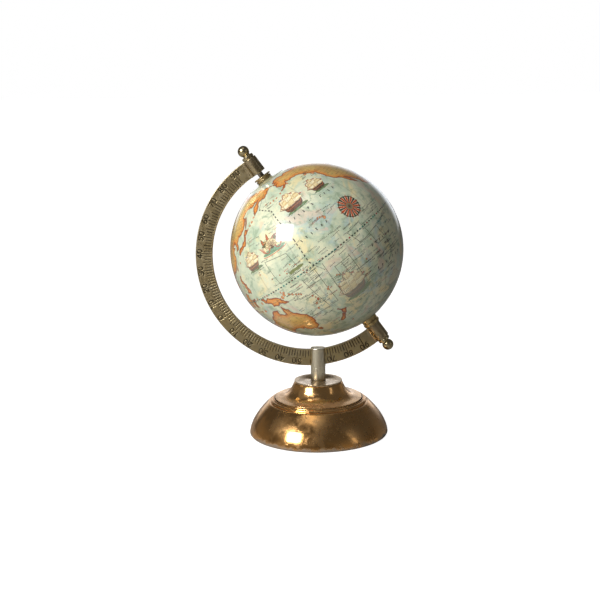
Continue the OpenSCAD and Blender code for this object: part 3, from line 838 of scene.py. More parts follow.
# coastlines as longitude, latitude; the small forms between the points are made by roughen
coasts = {
    "americas": """-168,65.6 -161,66.5 -166,68.5 -156.5,71.3 -141,69.6 -128,70 -115,68.5 -108,67.8 -96,67.5
        -94,71.5 -88,68 -82,69.5 -86,66.5 -93,62 -94.5,58.8 -85,55.3 -82.3,52.8 -79,51.3 -79.5,55 -77,57
        -78.5,60 -77.8,62.4 -73,62.2 -69.5,61 -69.5,58.8 -65,60 -61.5,57 -57,53.5 -55.8,52 -60,50.2
        -66.5,50.2 -69,48.5 -65,49.2 -64.5,47 -61,45.5 -66,43.5 -67,45 -70,43.7 -70,41.6 -74,40.6 -75.5,37.8
        -76,35.2 -81,31.8 -80.2,26 -81.5,25.5 -82.8,28.5 -84.5,30 -89.3,29.2 -94,29.6 -97.4,27 -97.7,22.5
        -95.8,18.8 -92,18.6 -90.4,21 -87,21.4 -88,18 -88.5,15.9 -83.2,15 -83.7,11 -81,8.8 -79.5,9.5
        -77.3,8.5 -75.5,10.7 -72,12 -71.5,11 -68,11 -62,10.7 -60,8.5 -57,6 -51,4.5 -50,0 -44,-2.5 -39,-3.5
        -35,-6 -35,-9 -39,-13 -39,-17.5 -41,-22 -45,-23.8 -48.5,-26 -50,-30 -53.5,-34 -57,-34.7 -57.5,-38
        -62,-39 -65,-41 -64,-43 -67.5,-46 -66,-48 -69,-51.5 -68.5,-53 -65.5,-54.8 -69,-55.5 -74,-52
        -75.5,-47 -73,-42 -73.5,-37 -71.5,-30 -70.3,-22 -70.5,-18.3 -76,-14 -79,-8.5 -81.3,-5 -80.3,-3
        -80.8,-1 -80,1 -78.5,2.5 -77.5,5 -77.8,7.5 -80.5,7.4 -83,8.3 -85.7,10 -87.5,13 -91.5,14 -94.5,16.2
        -100,16.9 -105.5,20.3 -105.5,22.5 -109,25.8 -112.8,30.2 -114.5,31.6 -112,27.8 -110,24.3 -110,23
        -112.2,25 -115,28.3 -117,32.5 -120.6,34.6 -122.5,37.5 -124.3,40.4 -124,46 -123,49 -128,52 -132,56
        -137,58.8 -144,60 -151,59.3 -151.5,61 -154,58.5 -160,55.6 -165,54.6 -160,57 -157.5,58.8 -162,58.8
        -165.5,61 -165,62.8 -161,64.5 -166,64.5""",
    "eurasia": """25.8,71 31,70 41,66.8 33.5,66.5 37.5,64 40,65 44,66.3 44,68.3 54,68.5 60,69 67,68.7
        68,72.5 73,71.5 73,67.5 75,72 80.5,73.5 87,75 104,77.6 113,74 120,73 129,71.2 140,72.5 152,71
        160,69.7 170,69.8 180,69 190,66 182,65 179,62.5 170.5,60 163.5,59.5 163,56.3 159.8,53 156.8,51
        155.7,55 156,57.5 161.5,60.5 164,62.3 157,61.7 152,59 143,59.3 137,54.8 141,52.5 140.4,48 135.3,43.8
        131,42.8 129.5,41 127.5,39.5 129.4,37 129,35.2 126.4,34.4 126.5,37.5 125,38.2 124.3,39.9 121.3,39
        121.5,40.8 118,39 119,37.3 122.5,37.2 119.3,34.9 121.9,31.5 121.8,29 119.7,25.6 116.8,23.2 113.5,22
        110.3,20.5 108,21.6 105.8,19 108.8,15 109.2,11.8 106.7,10.4 105,8.7 104.7,10.5 102.5,12 101,13.3
        99.8,11.5 99.3,9.3 101,6.8 103.4,4 104.2,1.4 103.3,1.4 101,3.3 100.3,6 98.4,8 98.6,12 97.5,16.5
        94.3,16 94,18.8 91.5,22.6 88.5,21.7 86.8,20.5 82.3,16.8 80.2,15 80,11 78.2,8.8 77.5,8.1 76.2,10.5
        74.3,15 72.8,19 72.6,21.5 70.3,20.9 69,22.3 66.8,24.9 61.5,25.2 57,26.8 54,26.6 50.8,29.2 48.8,30.2
        48,29.5 50.2,26.5 51.8,24 54.2,24.1 56.3,26.2 56.8,24.3 59.7,22.5 57.7,19 55.2,17.3 52,15.6 45,12.8
        43.4,12.7 42.7,16.5 39.2,21.3 37,25 35,28 34.9,29.5 32.6,29.9 34.3,31.3 35.6,34 36,36.8 32.5,36.1
        30.5,36.8 27.5,36.8 26.3,39 26.8,40.4 24,40.8 22.8,40.4 23.9,38 22.8,36.5 21.3,37.6 19.4,41 19.3,42
        15.5,44 13.6,45.6 12.4,45 13.8,43 16,41.8 18.4,40 16.8,40.5 17,39 15.8,38 15,40 12.3,41.8 10.3,43.8
        7.5,43.9 4,43.4 3.1,42.3 0.5,40.7 0,38.8 -0.7,37.7 -2.3,36.8 -5.4,36.1 -8.9,37 -9.4,38.8 -8.8,43.2
        -2,43.4 -1.3,45 -2.5,47.2 -4.7,48.4 -1.6,48.7 -1.6,49.7 0.3,49.6 1.7,50.9 4,51.9 7,53.5 8.6,54
        8.2,57 10.5,57.7 10,55 12.5,54.3 18.5,54.7 21,55.5 21.5,57.5 24.3,57.3 23.5,59.2 30,59.9 25,60.3
        21.5,60.7 21.4,63 25.3,65 22.3,65.8 17.5,62.5 17.2,60.7 18.8,60 16.5,57 14.3,55.5 12.8,55.6 11.2,59
        8,58.1 5.5,59 5,61.8 10,64 13,66.3 16,68.7 20,70""",
    "africa": """32.3,31.2 29,30.9 25,31.6 20,32.7 20,30.7 15.5,32.2 11,33.3 10.2,36.8 5,36.8 -2,35.2
        -5.9,35.8 -9.8,31.5 -10,29.5 -13,27.7 -16.3,22 -16.3,19 -17.5,14.7 -15,11 -11.5,6.9 -7.5,4.4 -4,5.2
        1.2,6 4.5,6.3 6.2,4.3 9.3,4 9.8,1 9,-1 12.2,-5.8 13.8,-10.7 12,-16.5 14.4,-22.5 15.2,-27 18.3,-32.5
        18.4,-34.2 20,-34.8 25.7,-34 30.8,-30.3 32.8,-27 35.5,-24 35,-19.8 40.5,-15.5 40.5,-10.8 39,-6.5
        41.5,-2 47,4 51,10.5 51.2,12 44,10.4 43,11.8 39.5,15 37.2,20 35.5,24 32.6,29.8 33.5,31""",
    "australia": """142.5,-10.8 143.8,-14.3 145.4,-15 146.3,-18.9 149.5,-22.3 153,-25.2 153.6,-28.5
        151.3,-33.5 150,-37.4 146.3,-39 143.5,-38.8 140,-38 138,-35.6 137.8,-32.8 135.8,-34.8 133.8,-32.1
        131,-31.5 126,-32.3 123.5,-33.9 118,-35 115,-34.3 115.7,-31.8 113.7,-26.5 113.8,-22.2 117,-20.7
        121,-19.6 122.2,-17.8 125,-15.3 128,-14.8 130,-13 131,-12.2 132.6,-11.5 136.8,-12.2 136,-13.5
        135.6,-15 139,-17.4 140.8,-17.5 141.6,-13.5""",
    "newGuinea": """131,-0.8 134,-0.8 135,-3.3 138,-1.7 144.5,-3.9 147.5,-6 147,-6.8 150.8,-10.3 147,-9.5
        144,-7.7 142.5,-9.2 138,-8.3 138,-5.5 133,-4 133,-2.3""",
    "borneo": """109,1.5 111.3,2.5 113.5,3.5 116.8,7 119,5.3 117.6,3.3 118.8,1 117.3,0.7 116.4,-3.5 114.5,-4
        111.5,-3.3 110,-1.3""",
    "sumatra": "95.3,5.6 98.5,4 103.5,0.5 106,-3 105.8,-5.8 102.5,-4.2 100.3,-1 98.8,1.7",
    "java": "105.2,-6.8 108.5,-6.6 112.6,-6.9 114.4,-8.5 110,-8 106.5,-7.4",
    "sulawesi": "120,0.8 125,1.6 124,0.4 120.7,0.5 123.3,-0.9 121.5,-2 122.5,-5 121,-3 120.4,-5.5 119.5,-3.5",
    "luzon": "120.6,18.5 122.2,18.4 121.6,15.8 124,13 123.5,12.8 120.6,13.9 120,16",
    "mindanao": "122,7 123.5,8.7 125.5,9.8 126.5,7.5 125.5,5.8 124,6.5",
    "visayas": "122,11.8 125.3,12.5 125,10.3 123,9.3",
    "japan": """130,33.3 131,34.4 135.5,35.6 136.8,37.3 139.5,38.3 140,40.5 141.3,41.4 142,39.5 140.8,36.5
        139.8,35 137,34.6 135.8,33.5 132.8,32.8 131.5,31.4 130.2,31.3""",
    "hokkaido": "140,41.8 141.6,45.3 145.3,43.8 143.2,42",
    "sakhalin": "142,46 142.2,54 143.3,52.5 143.8,49 142.9,47",
    "taiwan": "120.2,23 121.5,25.2 121,22.2",
    "hainan": "108.8,19.3 110.8,20 110,18.4",
    "sriLanka": "80,9.5 81.7,7.5 80.6,6 79.9,7.5",
    "northIsland": "172.8,-34.5 175.5,-36.8 178.4,-37.7 177,-39.5 175.2,-41.5 173.9,-39.3 174.8,-37.5",
    "southIsland": "172.8,-40.6 174.2,-41.7 172.8,-43.6 170.8,-46 168.5,-46.6 166.5,-46 170.3,-43.2",
    "tasmania": "144.8,-40.8 148.2,-40.9 147.8,-43.2 146,-43.5",
    "madagascar": "49.3,-12.1 50.3,-15.8 47.2,-24.9 44.2,-25 43.5,-21.5 44.5,-16.3",
    "britain": "-5.5,50.2 -3.2,51.4 -4.5,53.2 -3,54.8 -5.5,57.5 -3.2,58.6 -1.9,57.5 0.2,53 1.6,52.6 1.2,51.2",
    "ireland": "-10,52 -9.5,54.2 -7.3,55.3 -5.6,54.4 -6.3,52.2",
    "iceland": "-24,65.5 -20,66 -15,66.3 -14,64.8 -18.8,63.4 -22.5,63.9",
    "greenland": """-73,78.3 -60,82 -35,83.5 -20,81.5 -19,76 -22,71 -32,68.2 -40,65 -43.5,60 -48.5,61.5
        -53.5,66.5 -52,69.5 -56,73 -63,76""",
    "baffin": "-62,66.5 -66,62 -73,64.5 -78,66 -81,70 -89,72.5 -80,73.7 -70,70.5",
    "ellesmere": "-90,77 -62,82.5 -78,83 -95,80",
    "victoria": "-117,70 -106,69.2 -105,72.5 -116,73",
    "newfoundland": "-59.3,47.7 -56,51.6 -53,47.5 -55.8,46.9",
    "cuba": "-84.8,21.9 -81,23.1 -74.3,20.2 -77.5,19.9",
    "hispaniola": "-74.3,18.5 -71.7,19.8 -68.5,18.6 -71.5,17.8",
    "novaya": "53,71 56,73.5 68,76.8 60,75.5 55,71",
    "svalbard": "12,78 18,80 26,79.5 17,76.8",
    "antarctica": """-180,-78.5 -150,-77 -135,-74.5 -100,-73 -75,-73 -67,-68 -58,-63.5 -61,-70 -62,-75
        -40,-78 -20,-74 0,-70.5 30,-69.5 55,-66.5 85,-66.8 110,-66 140,-66.8 165,-71 163,-77 180,-78.5
        180,-90 -180,-90""",
    "blackSea": "28,42 31,46.5 35,45 41.5,41.8 35,42 31,41.2",  # waters inside the land
    "caspian": "47.5,45 53,46.5 52.8,41 54,37 49,37.5 49.5,41 47.5,43",
    "greatLakes": "-92,46.8 -88,48.6 -84,46.5 -80,44.8 -83,42 -84,45.5 -87.5,42 -86.5,45.6",
}


def pairs(text):
    return [tuple(float(n) for n in word.split(",")) for word in text.split()]


def degreesApart(start, end):
    middle = math.radians((start[1] + end[1]) / 2)
    return math.hypot((end[0] - start[0]) * math.cos(middle), end[1] - start[1])


def roughen(points, chance):
    # breaks every stretch of coast into small bays and capes
    out = []
    for (x0, y0), (x1, y1) in zip(points, points[1:] + points[:1]):
        stretch = [(x0, y0), (x1, y1)]
        length = degreesApart((x0, y0), (x1, y1))
        size = mapLook["rugged"]
        while length > mapLook["finestCoast"]:
            finer = [stretch[0]]
            for (a, b), (c, d) in zip(stretch, stretch[1:]):
                push = chance.uniform(-size, size)
                finer += [((a + c) / 2 - (d - b) * push, (b + d) / 2 + (c - a) * push), (c, d)]
            stretch = finer
            length /= 2
        out += stretch[:-1]
    return out


def unitVectors(lon, lat):
    a, b = np.radians(lon), np.radians(lat)
    return np.stack([np.cos(b) * np.cos(a), np.cos(b) * np.sin(a), np.sin(b)], -1)


def coastField(longitudes, latitudes):
    # signed distance to the coast in degrees, above zero on land, over a whole grid
    chance = random.Random(mapLook["seed"])
    shores = [roughen(pairs(text), chance) for text in coasts.values()]
    starts, ends = [], []
    for shore in shores:
        loop = np.array(shore)
        for shift in (-360, 0, 360):
            starts.append(loop + (shift, 0))
            ends.append(np.roll(loop, -1, axis=0) + (shift, 0))
    starts, ends = np.concatenate(starts), np.concatenate(ends)
    inside = np.zeros((len(latitudes), len(longitudes)), bool)
    for row, lat in enumerate(latitudes):
        crossing = (starts[:, 1] > lat) != (ends[:, 1] > lat)
        a, b = starts[crossing], ends[crossing]
        where = np.sort(a[:, 0] + (lat - a[:, 1]) * (b[:, 0] - a[:, 0]) / (b[:, 1] - a[:, 1]))
        inside[row] = np.searchsorted(where, longitudes) % 2 == 1
    shoreline = np.concatenate([np.array(shore) for shore in shores])
    shoreline = shoreline[shoreline[:, 1] > -89]
    tree = kdtree.KDTree(len(shoreline))
    for i, point in enumerate(unitVectors(*shoreline.T)):
        tree.insert(point, i)
    tree.balance()
    spots = unitVectors(*np.meshgrid(longitudes, latitudes)).reshape(-1, 3)
    away = np.degrees(np.array([tree.find(spot)[2] for spot in spots])).reshape(inside.shape)
    return np.where(inside, away, -away)


def tone(red, green, blue):
    # a screen colour, 0 to 255, as the shader wants it
    shares = [n / 255 for n in (red, green, blue)]
    return tuple(((n + 0.055) / 1.055) ** 2.4 if n > 0.04 else n / 12.92 for n in shares)


def addVarnish(tree, shader, colour):
    film = useGroup(tree, "varnish")
    colour = blendColour(tree, film["Specks"], colour, tone(70, 66, 50))
    tree.links.new(colour, shader.inputs["Base Color"])
    tree.links.new(span(tree, film["Rubbed"], 0, 1, 0.3, 0.48), shader.inputs["Roughness"])
    tree.links.new(span(tree, film["Rubbed"], 0, 1, 1.0, 0.75), shader.inputs["Coat Weight"])
    shader.inputs["Coat Roughness"].default_value = 0.05
    shader.inputs["Coat IOR"].default_value = 1.5
    joinBump(tree, shader, [(film["Height"], 0.03, 0.3), (film["Specks"], 0.03, 0.4)])


def seaColour(tree, point, coast, clouds):
    # cloudy washes laid over each other, paler along the shore, with brush marks
    cloud, cloudTwo, cloudThree = clouds
    sea = blendColour(tree, span(tree, cloud, 0.36, 0.6), tone(228, 228, 196), tone(194, 208, 180))
    sea = stain(tree, sea, span(tree, cloudTwo, 0.5, 0.62), 0.8, tone(168, 198, 202))
    sea = stain(tree, sea, span(tree, cloudThree, 0.52, 0.64), 0.75, tone(244, 226, 168))
    peach = span(tree, plus(tree, cloudTwo, times(tree, cloudThree, -0.6)), 0.26, 0.36)
    sea = stain(tree, sea, peach, 0.5, tone(244, 202, 160))
    halo = times(tree, span(tree, coast, -mapLook["haloWidth"], -0.3), span(tree, cloud, 0.3, 0.6, 0.4, 1.0))
    sea = stain(tree, sea, halo, 0.5, tone(214, 226, 200))
    brush = noise(tree, point, 170, 6, 0.7, 0.4)
    sea = blendColour(tree, span(tree, brush, 0.5, 0.66, 0.0, 0.75), sea, tone(146, 168, 138))
    return blendColour(tree, span(tree, brush, 0.32, 0.48, 0.6, 0.0), sea, tone(240, 234, 198))


def landColour(tree, point, coast, lat, flat, clouds):
    # yellow and peach inland, an orange wash along the shore, and thin borders
    cloud, cloudTwo, cloudThree = clouds
    land = blendColour(tree, span(tree, cloud, 0.4, 0.6), tone(234, 192, 122), tone(220, 176, 98))
    land = stain(tree, land, span(tree, cloudThree, 0.46, 0.62), 0.8, tone(228, 194, 112))
    land = stain(tree, land, span(tree, cloudTwo, 0.52, 0.66), 0.55, tone(186, 176, 108))
    wobble = times(tree, plus(tree, noise(tree, point, 120, 4), -0.5), 5.0)
    wash = span(tree, plus(tree, coast, wobble), 0.2, mapLook["washWidth"], 1.0, 0.0)
    land = stain(tree, land, wash, 0.85, tone(232, 136, 52))
    cells = addNode(tree, "TexVoronoi", {"Vector": point, "Scale": 62.0}, feature="DISTANCE_TO_EDGE")
    border = plus(tree, cells.outputs["Distance"], times(tree, noise(tree, point, 260, 4), 0.06))
    land = stain(tree, land, span(tree, border, 0.028, 0.045, 1.0, 0.0), 0.55, tone(170, 96, 56))
    # short rows of marks where names would stand
    rows = maths(tree, "FRACT", times(tree, lat, 0.42))
    inRow = times(tree, span(tree, rows, 0.16, 0.22), span(tree, rows, 0.42, 0.48, 1.0, 0.0))
    strokes = noise(tree, mapped(tree, flat, "Scale", (2.6, 1.2, 1)), 1.0, 2)
    words = noise(tree, mapped(tree, flat, "Scale", (0.13, 0.42, 1)), 1.0, 1)
    strokes = times(tree, times(tree, span(tree, strokes, 0.5, 0.56), inRow), span(tree, words, 0.47, 0.52))
    land = stain(tree, land, strokes, 0.9, tone(112, 70, 48))
    speckle = span(tree, noise(tree, point, 520, 3, 0.7), 0.56, 0.66)
    return stain(tree, land, speckle, 0.5, tone(120, 72, 40))


def addGraticule(tree, colour, lon, lat, flat):
    # a thin line every fifteen degrees, and the equator in dashes of three colours
    for value in (lon, lat):
        wrapped = addNode(tree, "Math", {0: value, 1: -7.5, 2: 7.5}, operation="WRAP").outputs[0]
        thin = span(tree, maths(tree, "ABSOLUTE", wrapped), 0.08, 0.2, 0.08, 0.0)
        colour = blendColour(tree, thin, colour, tone(96, 104, 88))
    dash = maths(tree, "FRACT", times(tree, lon, 0.42))
    dashes = times(tree, span(tree, dash, 0.02, 0.08), span(tree, dash, 0.55, 0.61, 1.0, 0.0))
    dashes = times(tree, dashes, span(tree, maths(tree, "ABSOLUTE", lat), 0.36, 0.5, 1.0, 0.0))
    tint = noise(tree, mapped(tree, flat, "Scale", (0.16, 0, 1)), 1.0, 1)
    dashTone = blendColour(tree, span(tree, tint, 0.52, 0.55), tone(38, 42, 36), tone(30, 140, 124))
    dashTone = blendColour(tree, span(tree, tint, 0.4, 0.43, 1.0, 0.0), dashTone, tone(168, 52, 50))
    return blendColour(tree, dashes, colour, dashTone)


def mapPaper():
    material, tree, shader = newMaterial("varnishedMap")
    coast, lon, lat = valueOf(tree, "coast"), valueOf(tree, "lon"), valueOf(tree, "lat")
    point = objectPoint(tree)
    flat = addNode(tree, "CombineXYZ", {"X": lon, "Y": lat}).outputs[0]
    clouds = [noise(tree, point, 26, 5, 0.6, 0.8),
              noise(tree, mapped(tree, point, "Location", (3.1, 1.7, 0.4)), 33, 5, 0.62, 0.8),
              noise(tree, mapped(tree, point, "Location", (7.7, 5.2, 2.9)), 48, 5, 0.62, 0.6)]
    sea = seaColour(tree, point, coast, clouds)
    land = landColour(tree, point, coast, lat, flat, clouds)
    colour = blendColour(tree, span(tree, coast, -0.04, 0.04), sea, land)
    ragged = times(tree, plus(tree, noise(tree, point, 300, 3), -0.5), 0.9)
    outline = span(tree, maths(tree, "ABSOLUTE", plus(tree, coast, ragged)), 0.3, 0.6, 1.0, 0.0)
    colour = stain(tree, colour, outline, 0.85, tone(140, 58, 28))
    colour = addGraticule(tree, colour, lon, lat, flat)
    # age: brown foxing, and thin dirt where the gores meet
    foxing = useGroup(tree, "patina", Scale=150, Coverage=0.22, Softness=0.08)
    colour = stain(tree, colour, foxing["Mask"], 0.14, tone(120, 104, 70))
    colour = stain(tree, colour, valueOf(tree, "seam"), 0.3, tone(110, 104, 82))
    addVarnish(tree, shader, colour)
    return material


def printedInk():
    material, tree, shader = newMaterial("printedInk")
    colour = addNode(tree, "Attribute", attribute_name="inkColour").outputs["Color"]
    grain = noise(tree, objectPoint(tree), 1500, 3)
    colour = blendColour(tree, span(tree, grain, 0.35, 0.7, 0.0, 0.16), colour, tone(206, 208, 182))
    addVarnish(tree, shader, colour)
    return material


gores = [name for name in frame["nodes"] if name.startswith("map_gore")]
gores.sort(key=lambda name: int(name.split("_")[-1]))
goreSize = measured(gores[0], rodFrame)
globeRadius = goreSize["reach"]
paperRadius = globeRadius - mapLook["sink"]
goreTop = math.degrees(math.asin(goreSize["high"] / globeRadius))
mapMaterial = mapPaper()
inkMaterial = printedInk()


def directions(lon, lat):
    # unit vectors in the world for longitudes and latitudes
    local = unitVectors(np.asarray(lon) + 270 - mapLook["frontLongitude"], lat)
    return local @ np.array(rodFrame)[:3, :3].T


def onGlobe(direction, radius):
    return np.array(spin["pos_m"]) + direction * radius * mm


def makeGores():
    perGore = round(360 / len(gores) / mapLook["step"])
    rows = round(2 * goreTop / mapLook["step"])
    latitudes = np.linspace(-goreTop, goreTop, rows + 1)
    whole = perGore * len(gores)
    longitudes = np.arange(whole) * mapLook["step"] - 180
    field = coastField(longitudes, latitudes)
    under, coarse = globeRadius - mapLook["paper"], mapLook["underSteps"]
    for i, node in enumerate(gores):
        # the gore's own first meridian, from its place round the rod
        first = goreSize["angle"] + 360 / len(gores) * i - 270 + mapLook["frontLongitude"]
        start = round((first % 360) / mapLook["step"])
        lon, lat = np.meshgrid(np.arange(start, start + perGore + 1) * mapLook["step"] - 360, latitudes)
        top = onGlobe(directions(lon, lat).reshape(-1, 3), paperRadius)
        jump = perGore // coarse
        lonUnder, latUnder = lon[:, ::jump], lat[:, ::jump]
        below = onGlobe(directions(lonUnder, latUnder).reshape(-1, 3), under)
        count, wide = len(top), coarse + 1
        faces = gridQuads(rows + 1, perGore + 1).tolist()
        faces += (gridQuads(rows + 1, wide)[:, ::-1] + count).tolist()
        for side in (0, 1):
            rim = np.arange(rows + 1) * (perGore + 1) + side * perGore
            foot = np.arange(rows + 1) * wide + side * coarse + count
            wall = np.stack([rim[:-1], rim[1:], foot[1:], foot[:-1]], -1)
            faces += (wall if side == 0 else wall[:, ::-1]).tolist()
        for row in (0, rows):
            rim = list(range(row * (perGore + 1), (row + 1) * (perGore + 1)))
            foot = list(range(count + row * wide, count + (row + 1) * wide))
            faces.append((rim[::-1] + foot) if row == 0 else (rim + foot[::-1]))
        mesh = bpy.data.meshes.new("gore_" + str(i + 1))
        mesh.from_pydata(np.concatenate([top, below]), [], faces)
        seam = np.clip(1 - np.minimum(lon - lon[:, :1], lon[:, -1:] - lon) / mapLook["seam"], 0, 1)
        coastHere = field[:, (np.arange(start, start + perGore + 1) + whole // 2) % whole]
        values = {"coast": (coastHere, coastHere[:, ::jump]), "lon": (lon, lonUnder), "lat": (lat, latUnder),
                  "seam": (seam, seam[:, ::jump])}
        setValues(mesh, {label: np.concatenate([a.ravel(), b.ravel()]) for label, (a, b) in values.items()})
        mesh.set_sharp_from_angle(angle=math.radians(40))
        addPiece("printed_gore_" + str(i + 1), mesh, mapMaterial, "globe", [node])


makeGores()
print("map ready")


inkTones = {
    "line": tone(92, 62, 44), "dark": tone(44, 42, 36), "frame": tone(92, 98, 76),
            "sail": tone(248, 236, 196),
    "canvas": tone(238, 218, 164), "sailLine": tone(176, 128, 76), "sailShade": tone(222, 186, 120),
    "hull": tone(98, 54, 30), "hullDark": tone(72, 44, 30), "red": tone(176, 62, 48),
            "green": tone(92, 118, 66),
    "seaGreen": tone(120, 160, 130), "orange": tone(206, 100, 46), "blue": tone(70, 132, 170),
    "rose": tone(196, 122, 106), "fadedDark": tone(112, 84, 80), "olive": tone(116, 124, 62),
    "land": tone(224, 146, 84), "shore": tone(150, 78, 42), "teal": tone(52, 134, 122),
            "cream": tone(240, 232, 200),
    "spoke": tone(200, 72, 20), "spokeGreen": tone(26, 46, 32), "hubGrey": tone(132, 118, 88),
    "paper": tone(206, 212, 186),  # what faded ink fades to
}


def broken(line):
    # the same line with points no further apart than the ink's step, so that it bends with the ball
    dense = []
    for (u0, v0), (u1, v1) in zip(line, line[1:]):
        steps = max(1, math.ceil(math.hypot(u1 - u0, v1 - v0) / mapLook["inkStep"]))
        dense += [(u0 + (u1 - u0) * k / steps, v0 + (v1 - v0) * k / steps) for k in range(steps)]
    return dense + [line[-1]]


class Drawing:
    # ink in thin closed films on the ball, drawn with a pen that has a place, a turn and a scale
    def __init__(self, fade=0.0):
        self.points, self.faces, self.colours, self.fade = [], [], [], fade

    def penAt(self, lon, lat, turn=0.0, scale=1.0):
        # u runs east and v runs north from the pen's place, in millimetres
        self.up = directions(lon, lat)
        east = directions(lon + 0.01, lat) - self.up
        east /= np.linalg.norm(east)
        north = np.cross(self.up, east)
        c, s = math.cos(math.radians(turn)), math.sin(math.radians(turn))
        self.u, self.v = (east * c + north * s) * scale, (north * c - east * s) * scale

    def onPaper(self, flat):
        # lays drawing points on the ball without stretching distances from the pen's place
        flat = np.asarray(flat, float)
        offset = flat[:, :1] * self.u + flat[:, 1:2] * self.v
        away = np.linalg.norm(offset, axis=1, keepdims=True)
        bend = away / globeRadius
        return self.up * np.cos(bend) + offset / np.maximum(away, 1e-9) * np.sin(bend)

    def film(self, ways, triangles, tint, layer):
        # the printed face, its underside in the paper, and the rim between them
        top = paperRadius + mapLook["inkLift"] + layer * mapLook["inkLayer"]
        start, count = sum(len(p) for p in self.points), len(ways)
        self.points += [ways * top, ways * (top - mapLook["inkDepth"])]
        colour = tuple(c + (p - c) * self.fade for c, p in zip(inkTones[tint], inkTones["paper"]))
        self.colours += [colour] * (2 * count)
        once = {}
        for tri in triangles:
            for a, b in zip(tri, tri[1:] + tri[:1]):
                if (b, a) in once:
                    del once[b, a]
                else:
                    once[a, b] = True
        rim = [(b, a, a + count, b + count) for a, b in once]
        under = [tuple(n + count for n in tri[::-1]) for tri in triangles]
        self.faces += [[n + start for n in face] for face in triangles + under + rim]

    def fill(self, outline, tint, layer=1):
        outline = broken(list(outline) + [outline[0]])[:-1]
        points = [Vector(p) for p in outline]
        edges = [(i, (i + 1) % len(points)) for i in range(len(points))]
        low, high, step = np.min(outline, axis=0), np.max(outline, axis=0), mapLook["inkStep"]
        for u in np.arange(low[0] + step / 2, high[0], step):
            points += [Vector((u, v)) for v in np.arange(low[1] + step / 2, high[1], step)]
        made = geometry.delaunay_2d_cdt(points, edges, [list(range(len(outline)))], 1, 1e-5)
        used = sorted({n for face in made[2] for n in face})
        renumber = {n: i for i, n in enumerate(used)}
        triangles = [tuple(renumber[n] for n in face) for face in made[2]]
        self.film(self.onPaper([tuple(made[0][n]) for n in used]), triangles, tint, layer)

    def ribbon(self, ways, width, tint, layer):
        side = np.cross(ways, np.gradient(ways, axis=0))
        side /= np.maximum(np.linalg.norm(side, axis=1, keepdims=True), 1e-12)
        side *= width / 2 / globeRadius
        n = len(ways)
        triangles = []
        for i in range(n - 1):
            triangles += [(i, n + i, n + i + 1), (i, n + i + 1, i + 1)]
        self.film(np.concatenate([ways + side, ways - side]), triangles, tint, layer)

    def line(self, line, width, tint, layer=3):
        self.ribbon(self.onPaper(broken(line)), width, tint, layer)

    def edged(self, outline, tint, layer, width, edgeTint, edgeLayer):
        # a filled shape with a drawn edge
        self.fill(outline, tint, layer)
        self.line(outline + outline[:1], width, edgeTint, edgeLayer)

    def rule(self, corners, width, tint, dash=0.0, gap=0.0, layer=2):
        # a line through longitudes and latitudes; dash and gap are in degrees
        for start, end in zip(corners, corners[1:]):
            length = degreesApart(start, end)
            at = 0.0
            while at < length - 1e-6:
                stop = min(at + (dash or length), length)
                t = np.linspace(at, stop, max(2, math.ceil(stop - at) + 1)) / length
                ways = directions(start[0] + (end[0] - start[0]) * t, start[1] + (end[1] - start[1]) * t)
                self.ribbon(ways, width, tint, layer)
                at = stop + gap

    def finish(self, name):
        points = np.concatenate(self.points)
        mesh = bpy.data.meshes.new(name)
        mesh.from_pydata(onGlobe(points, 1.0), [], self.faces)
        colours = np.ones((len(points), 4))
        colours[:, :3] = self.colours
        setValues(mesh, {"inkColour": colours})
        addPiece(name, mesh, inkMaterial, "globe")
        ways = points / np.linalg.norm(points, axis=1, keepdims=True)
        mesh.normals_split_custom_set_from_vertices([tuple(way) for way in ways])


def oval(x, y, wide, tall, steps):
    return bow(x, y, wide, tall, 0, 360, steps)[:-1]


ships = {
    # longitude and latitude, turn, scale, how faded the print is, and the hull's tint
    "great_ship": {"at": (-165.8, 38.6), "turn": 2, "scale": 1.34, "fade": 0.0, "hull": "hull"},
    "north_ship": {"at": (-139.5, 38.4), "turn": -3, "scale": 1.06, "fade": 0.0, "hull": "hullDark"},
    "west_ship": {"at": (142.8, 20.3), "turn": 4, "scale": 1.08, "fade": 0.12, "hull": "hull"},
    "south_ship": {"at": (-166.8, -30.2), "turn": 3, "scale": 1.62, "fade": 0.32, "hull": "fadedDark"},
    "far_south_ship": {"at": (-126.0, -50.0), "turn": 0, "scale": 1.2, "fade": 0.6, "hull": "green"},
    "atlantic_ship": {"at": (-38.0, 30.0), "turn": 0, "scale": 1.4, "fade": 0.05, "hull": "hull"},
    "trade_ship": {"at": (-18.0, -22.0), "turn": 4, "scale": 1.3, "fade": 0.3, "hull": "hullDark"},
    "indian_ship": {"at": (76.0, -22.0), "turn": -4, "scale": 1.45, "fade": 0.1, "hull": "hull"},
    "spice_ship": {"at": (62.0, 8.0), "turn": 0, "scale": 0.9, "fade": 0.35, "hull": "red"},
}


def drawSails(art, mast, tall, step):
    rise, layer = tall / 3, 2 + 2 * step
    for row, wide in enumerate((2.3, 2.0, 1.3)):
        low = 1.5 + row * rise * 0.94
        high = low + rise * 0.88
        sail = [(mast - wide, low), (mast - wide * 0.8, high), (mast + wide * 0.75, high + 0.1)]
        sail += bow(mast + wide * 0.5, (low + high) / 2, wide * 0.7, rise * 0.44, 75, -75,
                    6) + [(mast, low - 0.35)]
        art.edged(sail, "canvas" if (row + step) % 2 else "sail", layer, 0.2, "sailLine", layer + 1)
        shade = [(mast - wide * 0.7, low + 0.25), (mast + wide * 0.7, low + 0.1),
                 (mast + wide * 0.9, low + 0.7)]
        art.fill(shade, "sailShade", layer + 1)
    art.line([(mast, tall), (mast, tall + 0.9)], 0.3, "line", 8)
    pennant = [(mast, tall + 0.9), (mast - 1.9, tall + 1.3), (mast - 0.6, tall + 0.4), (mast, tall + 0.2)]
    art.fill(pennant, "red" if mast > 0 else "blue", 8)
    art.line([(mast - 1.9, 1.0), (mast, tall)], 0.12, "line", 8)


